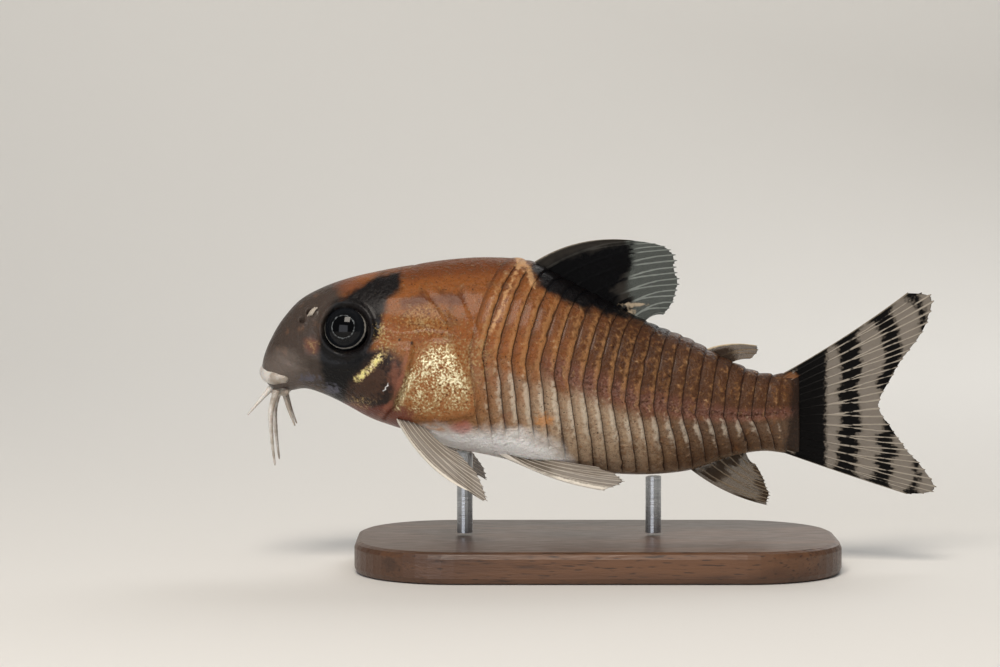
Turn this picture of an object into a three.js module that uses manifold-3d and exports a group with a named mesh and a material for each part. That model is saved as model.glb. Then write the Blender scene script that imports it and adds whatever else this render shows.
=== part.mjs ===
// A masked corydoras catfish at life size, swimming over a plain display stand.
// Millimetres, +Z up. The snout points along -X and the fish's left side faces -Y.
// The origin is the middle of the stand's underside.
import * as THREE from "three";
import { mergeVertices } from "three/addons/utils/BufferGeometryUtils.js";
import Module from "manifold-3d";

const wasm = await Module();
wasm.setup();

// Driving sizes
const gap = 0.3; // between touching pieces
const plateCount = 22; // bony plates in each row along a side
const firstSeamX = -12.2; // rear edge of the shoulder plate, on the side line
const lastSeamX = 17.2; // rear edge of the last plate, at the root of the tail fin
const plateStep = 0.24; // how far a plate's rear edge stands over the next plate
const finHalf = 0.26; // half the thickness of a fin's membrane at its root
const rayHalf = 0.42; // half the thickness of a fin ray at its root
const eye = { x: -23.7, z: 23.0, side: 3.35, radius: 2.12, flat: 0.66, turn: 0.2, roll: 0.2 };
const stand = { length: 46, width: 26, height: 3, corner: 9, bevel: 0.6, rod: 0.75 };
const rodPlaces = [-12.6, 5.4]; // along X, under the breast and ahead of the anal fin

// Cross-sections from snout to tail: top and under are [x, z] on the outline, half is half the
// width, level is how high the widest point lies, from 0 to 1, and roof and keel give how
// square the section is above and below it (2 is an ellipse).
const sections = [
  { top: [-31.9, 19.3], under: [-31.9, 19.1], half: 0.1, level: 0.5, roof: 2, keel: 2 },
  { top: [-31.6, 20.5], under: [-31.6, 17.9], half: 1.5, level: 0.48, roof: 2, keel: 2 },
  { top: [-31.0, 21.9], under: [-30.7, 17.0], half: 2.35, level: 0.44, roof: 2, keel: 2.1 },
  { top: [-30.0, 23.6], under: [-29.3, 16.9], half: 3.0, level: 0.42, roof: 2, keel: 2.1 },
  { top: [-28.3, 25.5], under: [-27.7, 17.1], half: 3.6, level: 0.42, roof: 2.1, keel: 2.1 },
  { top: [-26.2, 26.7], under: [-25.8, 16.5], half: 4.15, level: 0.44, roof: 2.2, keel: 2.1 },
  { top: [-23.7, 27.6], under: [-23.5, 15.4], half: 4.75, level: 0.45, roof: 2.2, keel: 2.1 },
  { top: [-20.7, 28.3], under: [-20.7, 14.0], half: 5.5, level: 0.42, roof: 2.1, keel: 2.2 },
  { top: [-17.4, 28.9], under: [-17.4, 12.9], half: 6.15, level: 0.38, roof: 2, keel: 2.5 },
  { top: [-14.0, 29.4], under: [-14.0, 11.6], half: 6.5, level: 0.36, roof: 1.9, keel: 2.7 },
  { top: [-10.2, 29.6], under: [-10.2, 10.8], half: 6.6, level: 0.37, roof: 1.85, keel: 2.8 },
  { top: [-6.4, 29.2], under: [-6.4, 9.9], half: 6.4, level: 0.4, roof: 1.85, keel: 2.7 },
  { top: [-2.5, 27.2], under: [-2.5, 9.3], half: 5.95, level: 0.42, roof: 1.9, keel: 2.5 },
  { top: [1.3, 25.2], under: [1.3, 9.0], half: 5.3, level: 0.44, roof: 2, keel: 2.3 },
  { top: [5.0, 23.3], under: [5.0, 8.9], half: 4.5, level: 0.46, roof: 2, keel: 2.2 },
  { top: [8.9, 21.7], under: [8.9, 9.3], half: 3.6, level: 0.48, roof: 2, keel: 2 },
  { top: [12.4, 19.8], under: [12.4, 10.5], half: 2.75, level: 0.5, roof: 2, keel: 2 },
  { top: [15.6, 18.5], under: [15.6, 11.1], half: 2.0, level: 0.5, roof: 2, keel: 2 },
  { top: [18.0, 18.4], under: [18.0, 10.9], half: 1.3, level: 0.5, roof: 2, keel: 2 },
  { top: [19.3, 18.6], under: [19.3, 10.7], half: 0.75, level: 0.5, roof: 2, keel: 2 },
];

// The side line, where the upper and lower plates meet, from the snout to the tail: [x, z]
const sideLine = [
  [-31.9, 19.1], [-28.5, 20.6], [-23.7, 21.7], [-17.0, 21.3], [-11.1, 20.6], [-7.3, 19.0],
  [-3.5, 17.4], [0.3, 16.2], [4.1, 15.3], [8.9, 14.6], [13.6, 14.4], [19.3, 14.8],
];

const clamp = (value, low, high) => Math.min(high, Math.max(low, value));
const mix = (a, b, t) => a + (b - a) * t;
const mixPoint = (a, b, t) => a.map((value, i) => mix(value, b[i], t));
const smooth = (low, high, value) => {
  const t = clamp((value - low) / (high - low), 0, 1);
  return t * t * (3 - 2 * t);
};

// A smooth value through evenly spaced ones, with place running from 0 to the last index.
function through(values, place) {
  const last = values.length - 1;
  const i = clamp(Math.floor(place), 0, last - 1);
  const t = place - i;
  const [a, b, c, d] = [i - 1, i, i + 1, i + 2].map((k) => values[clamp(k, 0, last)]);
  return 0.5 * (2 * b + (c - a) * t + (2 * a - 5 * b + 4 * c - d) * t ** 2 +
    (3 * b - a - 3 * c + d) * t ** 3);
}

// A smooth curve through points of any dimension, with t from 0 to 1.
function curvePoint(points, t) {
  return points[0].map((_, axis) => through(points.map((p) => p[axis]), t * (points.length - 1)));
}

function lineHeight(points, x) {
  const i = clamp(points.findIndex((p) => p[0] > x), 1, points.length - 1);
  const t = clamp((x - points[i - 1][0]) / (points[i][0] - points[i - 1][0]), 0, 1);
  return mix(points[i - 1][1], points[i][1], t);
}

function sectionAt(place) {
  const value = (read) => through(sections.map(read), place);
  return {
    top: [value((s) => s.top[0]), value((s) => s.top[1])],
    under: [value((s) => s.under[0]), value((s) => s.under[1])],
    half: value((s) => s.half),
    level: value((s) => s.level),
    roof: value((s) => s.roof),
    keel: value((s) => s.keel),
  };
}

// Which place along the sections has its top outline at x
function placeAt(x) {
  let low = 0;
  let high = sections.length - 1;
  for (let i = 0; i < 40; i++) {
    const middle = (low + high) / 2;
    if (through(sections.map((s) => s.top[0]), middle) < x) low = middle;
    else high = middle;
  }
  return low;
}

// A point of the skin. angle runs from 0 on the back to PI under the belly, grow swells the skin.
function skinPoint(place, angle, side, grow = 0) {
  const s = sectionAt(place);
  const rise = Math.cos(angle);
  const power = 2 / (rise > 0 ? s.roof : s.keel);
  const middle = mixPoint(s.under, s.top, s.level);
  const end = rise > 0 ? s.top : s.under;
  const reach = Math.hypot(end[0] - middle[0], end[1] - middle[1]) || 1;
  const share = Math.abs(rise) ** power * (1 + grow / reach);
  const width = Math.abs(Math.sin(angle)) ** power * (s.half + grow);
  return [mix(middle[0], end[0], share), side * width, mix(middle[1], end[1], share)];
}

// The angle at which the skin reaches the side line
function lineAngle(place) {
  const s = sectionAt(place);
  const middle = mixPoint(s.under, s.top, s.level);
  const height = lineHeight(sideLine, middle[0]) - middle[1];
  const end = height > 0 ? s.top : s.under;
  const share = clamp(Math.abs(height) / (Math.abs(end[1] - middle[1]) + 1e-6), 0, 0.6);
  const turn = share ** ((height > 0 ? s.roof : s.keel) / 2);
  return height > 0 ? Math.acos(turn) : Math.PI - Math.acos(turn);
}

// Half the body's width at a place and height
function widthAt(x, z) {
  const s = sectionAt(placeAt(x));
  const middle = mix(s.under[1], s.top[1], s.level);
  const [end, power] = z > middle ? [s.top[1], s.roof] : [s.under[1], s.keel];
  const share = clamp(Math.abs((z - middle) / (end - middle)), 0, 1);
  return s.half * (1 - share ** power) ** (1 / power);
}

// A closed mesh from rings of points, each ring a loop, with the two ends drawn together.
function loft(rings) {
  const count = rings[0].length;
  const points = rings.flat();
  const faces = [];
  for (let i = 0; i + 1 < rings.length; i++) {
    for (let j = 0; j < count; j++) {
      const [a, b] = [i * count + j, i * count + ((j + 1) % count)];
      faces.push(a, b, b + count, a, b + count, a + count);
    }
  }
  for (const ring of [rings[0], rings.at(-1)]) {
    const base = ring === rings[0] ? 0 : (rings.length - 1) * count;
    const centre = points.length;
    points.push([0, 1, 2].map((k) => ring.reduce((sum, p) => sum + p[k], 0) / count));
    for (let j = 0; j < count; j++) {
      const [a, b] = [base + j, base + ((j + 1) % count)];
      faces.push(...(base ? [centre, a, b] : [centre, b, a]));
    }
  }
  return facesOut(points, faces);
}

// Turns points and faces into a geometry whose faces point outwards.
function facesOut(points, faces) {
  let volume = 0;
  for (let i = 0; i < faces.length; i += 3) {
    const [a, b, c] = [0, 1, 2].map((k) => new THREE.Vector3(...points[faces[i + k]]));
    volume += a.dot(b.cross(c));
  }
  if (volume < 0) faces.reverse();
  const geometry = new THREE.BufferGeometry();
  geometry.setAttribute("position", new THREE.Float32BufferAttribute(points.flat(), 3));
  geometry.setIndex(faces);
  return geometry;
}

function solid(geometry, matrix) {
  const bare = new THREE.BufferGeometry();
  bare.setAttribute("position", geometry.getAttribute("position").clone());
  if (geometry.index) bare.setIndex(geometry.index.clone());
  if (matrix) bare.applyMatrix4(matrix);
  const merged = mergeVertices(bare, 1e-4);
  return new wasm.Manifold(new wasm.Mesh({
    numProp: 3,
    vertProperties: new Float32Array(merged.attributes.position.array),
    triVerts: new Uint32Array(merged.index.array),
  }));
}

// The largest closed surface of a solid, without loose scraps or sealed hollows
function largest(body) {
  return body.decompose().reduce((a, b) => (b.volume() > a.volume() ? b : a));
}

function geometryOf(body) {
  const mesh = body.getMesh();
  const points = new Float32Array(mesh.numVert * 3);
  for (let i = 0; i < mesh.numVert; i++) {
    points.set(mesh.vertProperties.subarray(i * mesh.numProp, i * mesh.numProp + 3), i * 3);
  }
  const geometry = new THREE.BufferGeometry();
  geometry.setAttribute("position", new THREE.BufferAttribute(points, 3));
  geometry.setIndex(new THREE.BufferAttribute(new Uint32Array(mesh.triVerts), 1));
  geometry.computeVertexNormals();
  return geometry;
}

// A tube round a list of [x, y, z] points, its radius read along it from 0 to 1.
function tube(points, radiusAt, steps, sides) {
  const rings = [];
  for (let i = 0; i <= steps; i++) {
    const t = i / steps;
    const here = new THREE.Vector3(...curvePoint(points, t));
    const ahead = new THREE.Vector3(...curvePoint(points, Math.min(1, t + 0.01)));
    const behind = new THREE.Vector3(...curvePoint(points, Math.max(0, t - 0.01)));
    const along = ahead.sub(behind).normalize();
    const side = new THREE.Vector3(0.31, 0.92, 0.24).cross(along).normalize();
    const up = along.clone().cross(side);
    rings.push(Array.from({ length: sides }, (_, j) => {
      const turn = (2 * Math.PI * j) / sides;
      return here.clone()
        .addScaledVector(side, Math.cos(turn) * radiusAt(t))
        .addScaledVector(up, Math.sin(turn) * radiusAt(t)).toArray();
    }));
  }
  return solid(loft(rings));
}

// Body

// Lines along the body, as shares of the way from back to side line (0 to 1) and on to the
// belly (1 to 2). They stand closer beside the side line, where the plates end.
const lengthLines = [0, 0.14, 0.32, 0.52, 0.72, 0.88, 0.96, 1, 1.05, 1.14, 1.3, 1.5, 1.7, 1.86, 2];
const headRings = 26;
const tailRings = [17.9, 18.6, 19.2];
const seamShare = 0.07; // of a plate, on either side of its seam

// How far a seam lies ahead of or behind its place on the side line
function seamShift(x, line) {
  const fade = smooth(firstSeamX - 4, firstSeamX, x) * (1 - smooth(16.6, 18.4, x));
  const upper = mix(3.0, 1.0, smooth(-12, 14, x)) * (1 - Math.min(line, 1)) ** 1.6;
  const lower = 1.15 * (1 - (1 - clamp(line - 1, 0, 1)) ** 2.6);
  return fade * (line < 1 ? upper : lower);
}

// The gill covers swell from the cheek towards their rear edge, which stands over the shoulder.
const gillCover = { front: -24.6, full: -19.6, low: 14.6, high: 21.6, lift: 0.42 };

function coverLift(x, z) {
  const tall = smooth(gillCover.low - 1, gillCover.low + 1.4, z) *
    (1 - smooth(gillCover.high - 0.8, gillCover.high + 0.5, z));
  return gillCover.lift * tall * smooth(gillCover.front, gillCover.full, x);
}

function bodyRings({ grow = 0, plates = plateStep, covers = false }) {
  const stations = [];
  for (let i = 0; i < headRings; i++) {
    const t = i / headRings;
    stations.push({ place: placeAt(firstSeamX) * t ** 1.25, lift: 0 });
  }
  const pitch = (lastSeamX - firstSeamX) / plateCount;
  for (let k = 0; k < plateCount; k++) {
    for (const [share, lift] of [[-seamShare, 1], [seamShare, 0], [0.52, 0.55]]) {
      stations.push({ x: firstSeamX + (k + share) * pitch, lift });
    }
  }
  stations.push({ x: lastSeamX, lift: 0.9 });
  tailRings.forEach((x) => stations.push({ x, lift: 0 }));
  return stations.map(({ place, x, lift }) => {
    const row = (side) => lengthLines.map((line) => {
      const from = x === undefined ? through(sections.map((s) => s.top[0]), place) : x;
      const shift = seamShift(from, line);
      const here = shift || x !== undefined ? placeAt(from + shift) : place;
      const join = lineAngle(here);
      const angle = line < 1 ? join * line : mix(join, Math.PI, line - 1);
      const edge = smooth(0, 0.14, line) * (1 - smooth(1.72, 1.9, line));
      const groove = line === 1 ? 0 : 1;
      const bare = skinPoint(here, angle, side);
      const cover = covers ? coverLift(bare[0], bare[2]) : 0;
      return skinPoint(here, angle, side, grow + plates * lift * edge * groove + cover);
    });
    return [...row(-1), ...row(1).slice(1, -1).reverse()];
  });
}

const plainBody = solid(loft(bodyRings({})));
const coveredBody = solid(loft(bodyRings({ covers: true })));
const clearBody = solid(loft(bodyRings({ grow: gap })));

// A thin wall along a curve in the XZ plane, for cutting the body apart
function wall(points, thick) {
  const path = new THREE.SplineCurve(points.map((p) => new THREE.Vector2(...p))).getPoints(14);
  const shape = new THREE.Shape([
    ...path.map((p) => new THREE.Vector2(p.x - thick / 2, p.y)),
    ...path.map((p) => new THREE.Vector2(p.x + thick / 2, p.y)).reverse(),
  ]);
  const reach = 12;
  const block = new THREE.ExtrudeGeometry(shape, { depth: 2 * reach, bevelEnabled: false });
  return solid(block, new THREE.Matrix4().makeRotationX(Math.PI / 2).setPosition(0, reach, 0));
}

// The gill opening and the nape part the head from the trunk, and a plate's seam the tail.
const gillCut = [
  [-11.6, 32], [-13.4, 27.5], [-15.6, 24], [-17.4, 21], [-17.9, 18.4], [-19.0, 15.6], [-20.3, 13.4],
  [-20.9, 10.5],
];
const tailCut = [[8.3, 24], [7.3, 18], [6.9, 15], [7.6, 12], [7.7, 6]];

// Head

// Upper and lower lip, with the mouth line left between them
const lip = {
  path: [[-29.4, -2.5, 18.0], [-30.9, -1.8, 18.3], [-31.35, 0, 18.7], [-30.9, 1.8, 18.3],
    [-29.4, 2.5, 18.0]],
  radius: 0.88,
};
const lowerLip = { path: [[-29.5, -1.9, 16.9], [-30.6, 0, 16.9], [-29.5, 1.9, 16.9]], radius: 0.62 };
const lipTube = (form, grow) => tube(
  form.path, (t) => form.radius * (0.6 + 0.4 * Math.sin(Math.PI * t)) + grow, 12, 10);

function eyeMatrix(side, grow) {
  const size = eye.radius + grow;
  const turn = new THREE.Matrix4().makeRotationFromEuler(
    new THREE.Euler(side * eye.roll, 0, side * eye.turn));
  return new THREE.Matrix4()
    .makeTranslation(eye.x, side * eye.side, eye.z)
    .multiply(turn)
    .scale(new THREE.Vector3(size, eye.radius * eye.flat + grow, size));
}

const eyeBall = (side, grow) => solid(new THREE.SphereGeometry(1, 18, 12), eyeMatrix(side, grow));

// A raised ring that follows the skin round a point of the head
function skinRing(side, x, z, radius, thick, steps) {
  const ring = new THREE.TorusGeometry(radius, thick, 8, steps).rotateX(Math.PI / 2);
  const points = ring.getAttribute("position");
  for (let i = 0; i < points.count; i++) {
    const turn = Math.atan2(points.getZ(i), points.getX(i));
    const skin = widthAt(x + radius * Math.cos(turn), z + radius * Math.sin(turn));
    points.setXYZ(i, points.getX(i) + x, side * skin + points.getY(i), points.getZ(i) + z);
  }
  return solid(ring);
}

const orbitRim = (side) => skinRing(side, eye.x, eye.z, eye.radius + 0.32, 0.3, 28);

// Two nostrils on each side ahead of the eye, the rear one behind a small raised flap
const nostrils = [
  { x: -27.9, z: 23.7, radius: 0.26 },
  { x: -27.1, z: 24.5, radius: 0.38 },
];

const nostrilFlap = (side, hole) => skinRing(side, hole.x, hole.z, hole.radius + 0.14, 0.2, 12);

function nostrilHole(side, hole) {
  const y = side * widthAt(hole.x, hole.z);
  const pit = new THREE.CylinderGeometry(hole.radius, hole.radius, 1.6, 10);
  return solid(pit.translate(hole.x, y, hole.z));
}

const sides = { left: -1, right: 1 };
const bothSides = (make) => Object.values(sides).map(make);
const join = (bodies) => bodies.reduce((all, body) => all.add(body));
const cut = (body, tools) => tools.reduce((rest, tool) => rest.subtract(tool), body);

const headBody = cut(
  join([
    coveredBody,
    lipTube(lip, 0),
    lipTube(lowerLip, 0),
    ...bothSides(orbitRim),
    ...bothSides((side) => nostrilFlap(side, nostrils[1])),
  ]),
  [
    ...bothSides((side) => eyeBall(side, gap)),
    ...bothSides((side) => nostrilHole(side, nostrils[0])),
    ...bothSides((side) => nostrilHole(side, nostrils[1])),
  ],
);

const foremost = (bodies) => bodies.reduce(
  (a, b) => (b.boundingBox().min[0] < a.boundingBox().min[0] ? b : a));
const walls = [wall(gillCut, gap), wall(tailCut, gap)];
const head = foremost(headBody.subtract(walls[0]).decompose());
const [, trunk, tail] = cut(plainBody, walls)
  .decompose()
  .sort((a, b) => b.volume() - a.volume())
  .slice(0, 3)
  .sort((a, b) => a.boundingBox().min[0] - b.boundingBox().min[0]);

// Fins

// A fin's middle surface comes from rays: each is a curve from a root, past a bend, to a tip.
// root, bend and tip are [x, y, z] curves read across the fin, from its leading ray to its last.
function finPoint(fin, across, along) {
  const root = curvePoint(fin.root, across);
  const bend = curvePoint(fin.bend, across);
  const tip = curvePoint(fin.tip, across);
  return mixPoint(mixPoint(root, bend, along), mixPoint(bend, tip, along), along);
}

// The rays stand as ridges on both faces of the membrane. Both faces share one split into
// triangles, so that they never cross.
function finSolid(fin) {
  const columns = 2 * (fin.rays - 1);
  const rows = fin.rows;
  const middle = (i, j) => new THREE.Vector3(...finPoint(fin, i / columns, j / rows));
  const faces = [];
  const points = [];
  const step = 1e-3;
  for (const face of [1, -1]) {
    for (let i = 0; i <= columns; i++) {
      for (let j = 0; j <= rows; j++) {
        const [u, v] = [clamp(i / columns, step, 1 - step), clamp(j / rows, step, 1 - step)];
        const at = (a, b) => new THREE.Vector3(...finPoint(fin, a, b));
        const normal = at(u + step, v).sub(at(u - step, v))
          .cross(at(u, v + step).sub(at(u, v - step))).normalize();
        const spine = i === 0 ? fin.spine ?? 1.15 : 1;
        const half = i % 2 ? finHalf : rayHalf * spine;
        const taper = mix(1, i % 2 ? 0.55 : 0.4, (j / rows) ** 1.5);
        points.push(middle(i, j).addScaledVector(normal, face * half * taper).toArray());
      }
    }
  }
  const index = (face, i, j) => (face > 0 ? 0 : (columns + 1) * (rows + 1)) + i * (rows + 1) + j;
  const quad = (a, b, c, d) => faces.push(a, b, c, a, c, d);
  for (let i = 0; i < columns; i++) {
    for (let j = 0; j < rows; j++) {
      const ring = (face) => [index(face, i, j), index(face, i + 1, j), index(face, i + 1, j + 1),
        index(face, i, j + 1)];
      const [a, b, c, d] = ring(1);
      quad(a, b, c, d);
      const [e, f, g, h] = ring(-1);
      faces.push(e, g, f, e, h, g);
    }
    quad(index(1, i + 1, 0), index(1, i, 0), index(-1, i, 0), index(-1, i + 1, 0));
    quad(index(1, i, rows), index(1, i + 1, rows), index(-1, i + 1, rows), index(-1, i, rows));
  }
  for (let j = 0; j < rows; j++) {
    quad(index(1, 0, j), index(1, 0, j + 1), index(-1, 0, j + 1), index(-1, 0, j));
    quad(index(1, columns, j + 1), index(1, columns, j), index(-1, columns, j),
      index(-1, columns, j + 1));
  }
  return solid(facesOut(points, faces));
}

const flat = (points, y = 0) => points.map(([x, z]) => [x, y, z]);
const backZ = (x) => sectionAt(placeAt(x)).top[1];
const bellyZ = (x) => sectionAt(placeAt(x)).under[1];
const sunk = 1.1; // how deep a root lies before the body is cut out of it

const dorsalFin = {
  rays: 9, rows: 8, spine: 1.3,
  root: flat([-7.2, -4.2, -1.3, 1.5, 4.0].map((x) => [x, backZ(x) - sunk])),
  bend: flat([[-2.6, 31.9], [0.2, 30.3], [2.0, 28.0], [3.6, 26.2], [4.9, 24.4]]),
  tip: flat([[3.4, 31.2], [6.8, 30.5], [7.6, 28.4], [7.6, 26.2], [6.4, 24.1]]),
};
const adiposeFin = {
  rays: 3, rows: 4, spine: 1.0,
  root: flat([9.4, 10.8, 12.0].map((x) => [x, backZ(x) - sunk])),
  bend: flat([[11.8, 21.8], [12.6, 20.9], [13.0, 20.0]]),
  tip: flat([[15.2, 21.2], [15.3, 20.6], [14.6, 19.9]]),
};
const analFin = {
  rays: 7, rows: 6, spine: 1.1,
  root: flat([7.9, 9.9, 12.0, 14.0].map((x) => [x, bellyZ(x) + sunk])),
  bend: flat([[11.6, 6.9], [12.8, 8.0], [13.6, 9.1], [14.3, 10.0]]),
  tip: flat([[16.3, 5.9], [16.5, 7.0], [15.9, 8.5], [15.1, 9.9]]),
};
const tailRoot = 19.3;
const caudalUpper = {
  rays: 8, rows: 9, spine: 1.2,
  root: flat([[tailRoot - 2.2, 18.2], [tailRoot - 0.9, 16.9], [tailRoot - 0.8, 15.0]]),
  bend: flat([[23.4, 21.6], [23.8, 19.0], [23.0, 15.4]]),
  tip: flat([[29.6, 26.3], [32.0, 25.8], [31.2, 22.9], [29.4, 20.3], [28.0, 18.0], [26.9, 15.9]]),
};
const caudalLower = {
  rays: 8, rows: 9, spine: 1.2,
  root: flat([[tailRoot - 2.2, 11.2], [tailRoot - 0.9, 12.6], [tailRoot - 0.8, 14.6]]),
  bend: flat([[23.2, 9.0], [23.6, 11.2], [23.0, 14.6]]),
  tip: flat([[29.8, 6.9], [32.3, 7.4], [31.0, 9.7], [29.4, 11.5], [28.1, 13.3], [26.9, 15.2]]),
};

// A paired fin is given for the left side and mirrored across the body.
const mirrored = (points, side) => points.map(([x, y, z]) => [x, -side * y, z]);
const pectoralFin = (side) => ({
  rays: 8, rows: 8, spine: 1.5,
  root: mirrored([[-19.0, -3.9, 14.5], [-17.8, -4.1, 14.3], [-16.6, -4.1, 14.0]], side),
  bend: mirrored([[-16.6, -7.2, 10.3], [-15.0, -6.8, 11.1], [-14.6, -6.0, 12.0]], side),
  tip: mirrored([[-12.3, -9.4, 8.4], [-10.5, -8.8, 7.4], [-11.4, -7.2, 9.6], [-13.2, -6.2, 11.6]],
    side),
});
const pelvicFin = (side) => ({
  rays: 6, rows: 6, spine: 1.2,
  root: mirrored([[-9.3, -3.9, 11.4], [-8.6, -3.2, 11.2], [-7.9, -2.4, 11.0]], side),
  bend: mirrored([[-4.6, -6.3, 9.8], [-3.6, -4.8, 9.2], [-3.2, -2.9, 8.9]], side),
  tip: mirrored([[0.6, -7.0, 8.9], [2.4, -5.4, 8.8], [1.6, -3.6, 8.3], [0.4, -2.4, 8.1]], side),
});
const rooted = (body) => largest(body.subtract(clearBody));

// Barbels: two at each corner of the mouth and a short one under the lower lip, on each side
const barbels = {
  upper: [[-30.4, -2.1, 17.0], [-30.9, -2.7, 15.0], [-30.8, -2.9, 12.6], [-30.5, -2.9, 10.0]],
  front: [[-31.0, -1.5, 17.2], [-31.9, -2.2, 16.2], [-33.1, -2.9, 14.8]],
  lower: [[-29.6, -1.0, 16.3], [-29.3, -1.1, 15.2], [-28.7, -1.3, 13.6]],
};
const barbelRadius = { upper: 0.42, front: 0.38, lower: 0.34 };
const clearLips = join([lipTube(lip, gap), lipTube(lowerLip, gap)]);

function barbel(name, side) {
  const radius = (t) => barbelRadius[name] * mix(1, 0.3, t);
  const steps = name === "upper" ? 12 : 7;
  return rooted(tube(mirrored(barbels[name], side), radius, steps, 8).subtract(clearLips));
}

// Stand

function standBase() {
  const [x, y, r] = [stand.length / 2 - stand.bevel, stand.width / 2 - stand.bevel, stand.corner];
  const outline = new THREE.Shape();
  outline.moveTo(-x + r, -y);
  outline.lineTo(x - r, -y);
  outline.absarc(x - r, -y + r, r, -Math.PI / 2, 0);
  outline.absarc(x - r, y - r, r, 0, Math.PI / 2);
  outline.absarc(-x + r, y - r, r, Math.PI / 2, Math.PI);
  outline.absarc(-x + r, -y + r, r, Math.PI, 1.5 * Math.PI);
  const plate = new THREE.ExtrudeGeometry(outline, {
    depth: stand.height - 2 * stand.bevel, bevelSize: stand.bevel, bevelThickness: stand.bevel,
    bevelSegments: 2, curveSegments: 6,
  });
  return solid(plate.translate(0, 0, stand.bevel));
}

function standRod(x) {
  const foot = stand.height + gap;
  const top = bellyZ(x) + sunk;
  const rod = new THREE.CylinderGeometry(stand.rod, stand.rod, top - foot, 16);
  rod.rotateX(Math.PI / 2).translate(x, 0, (top + foot) / 2);
  const parts = solid(rod).subtract(clearBody).decompose();
  return parts.reduce((a, b) => (b.boundingBox().min[2] < a.boundingBox().min[2] ? b : a));
}

// Assembly

const finish = (color, roughness, metalness = 0) =>
  new THREE.MeshStandardMaterial({ color, roughness, metalness });
const skinFinish = finish(0xb06a3c, 0.42);
const headFinish = finish(0x3a302b, 0.4);
const finFinish = finish(0xb9ad98, 0.5);
const darkFinish = finish(0x16161a, 0.5);
const fleshFinish = finish(0xcfc4b0, 0.5);
const eyeFinish = finish(0x0c0d10, 0.08);
const steelFinish = finish(0xb8babd, 0.3, 1);
const woodFinish = finish(0x3b2a1e, 0.45);

const fish = new THREE.Group();
const add = (name, body, material) => {
  const mesh = new THREE.Mesh(geometryOf(body), material);
  mesh.name = name;
  fish.add(mesh);
};

add("head", head, headFinish);
add("trunk", trunk, skinFinish);
add("tail", tail, skinFinish);
add("dorsal_fin", rooted(finSolid(dorsalFin)), darkFinish);
add("adipose_fin", rooted(finSolid(adiposeFin)), finFinish);
add("anal_fin", rooted(finSolid(analFin)), finFinish);
add("caudal_fin_upper", rooted(finSolid(caudalUpper)), finFinish);
add("caudal_fin_lower", rooted(finSolid(caudalLower)), finFinish);
for (const [name, side] of Object.entries(sides)) {
  add(`eye_${name}`, eyeBall(side, 0), eyeFinish);
  add(`pectoral_fin_${name}`, rooted(finSolid(pectoralFin(side))), finFinish);
  add(`pelvic_fin_${name}`, rooted(finSolid(pelvicFin(side))), finFinish);
  Object.keys(barbels).forEach((kind) => add(`barbel_${kind}_${name}`, barbel(kind, side), fleshFinish));
}
add("stand_base", standBase(), woodFinish);
rodPlaces.forEach((x, i) => add(`stand_rod_${i + 1}`, standRod(x), steelFinish));

export default fish;
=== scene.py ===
# A masked corydoras catfish on a walnut stand: skin, fins, eyes and barbels over the fixed frame.
# Lengths are in millimetres until a mesh is made. The snout points along -X, the left side faces -Y.
import math

import bmesh
import bpy
import numpy as np
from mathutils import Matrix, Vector


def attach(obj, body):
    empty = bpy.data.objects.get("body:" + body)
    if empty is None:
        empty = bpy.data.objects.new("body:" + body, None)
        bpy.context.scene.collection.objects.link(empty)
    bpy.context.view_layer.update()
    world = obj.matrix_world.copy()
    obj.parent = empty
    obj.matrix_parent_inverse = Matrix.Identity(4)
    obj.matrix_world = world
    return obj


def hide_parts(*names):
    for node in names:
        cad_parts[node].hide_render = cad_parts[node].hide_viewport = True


print("loading the frame")
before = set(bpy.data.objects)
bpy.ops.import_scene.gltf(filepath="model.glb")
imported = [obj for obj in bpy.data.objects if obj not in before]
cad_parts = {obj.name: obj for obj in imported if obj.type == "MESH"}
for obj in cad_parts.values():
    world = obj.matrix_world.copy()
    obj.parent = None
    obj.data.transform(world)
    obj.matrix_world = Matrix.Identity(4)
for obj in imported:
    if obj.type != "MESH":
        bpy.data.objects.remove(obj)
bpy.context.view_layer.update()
mm = 0.001
draw = np.random.default_rng(7)


def linear(code):
    # an sRGB hex colour as linear red, green, blue and alpha
    parts = [int(code[i:i + 2], 16) / 255 for i in (1, 3, 5)]
    return tuple(c / 12.92 if c <= 0.04045 else ((c + 0.055) / 1.055) ** 2.4 for c in parts) + (1.0,)


def smooth(low, high, value):
    t = np.clip((value - low) / (high - low), 0, 1)
    return t * t * (3 - 2 * t)


def through(values, place):
    # a smooth value through evenly spaced ones, place running from 0 to the last index
    values = np.asarray(values, float)
    last = len(values) - 1
    i = np.clip(np.floor(place).astype(int), 0, last - 1)
    t = np.asarray(place) - i
    if values.ndim > 1:
        t = t[..., None]
    a, b, c, d = (values[np.clip(i + k, 0, last)] for k in (-1, 0, 1, 2))
    return 0.5 * (2 * b + (c - a) * t + (2 * a - 5 * b + 4 * c - d) * t ** 2
                  + (3 * b - a - 3 * c + d) * t ** 3)


def alongCurve(points, t):
    return through(points, np.asarray(t) * (len(points) - 1))


def fromEdge(x, z, start, end):
    # the distance from a straight edge
    (startX, startZ), (runX, runZ) = start, np.subtract(end, start)
    share = np.clip(((x - startX) * runX + (z - startZ) * runZ) / (runX ** 2 + runZ ** 2), 0, 1)
    return np.hypot(x - startX - share * runX, z - startZ - share * runZ)


def lineBy(line, x, z):
    # the distance from an open line
    return np.min([fromEdge(x, z, start, end) for start, end in zip(line, line[1:])], axis=0)


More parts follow.
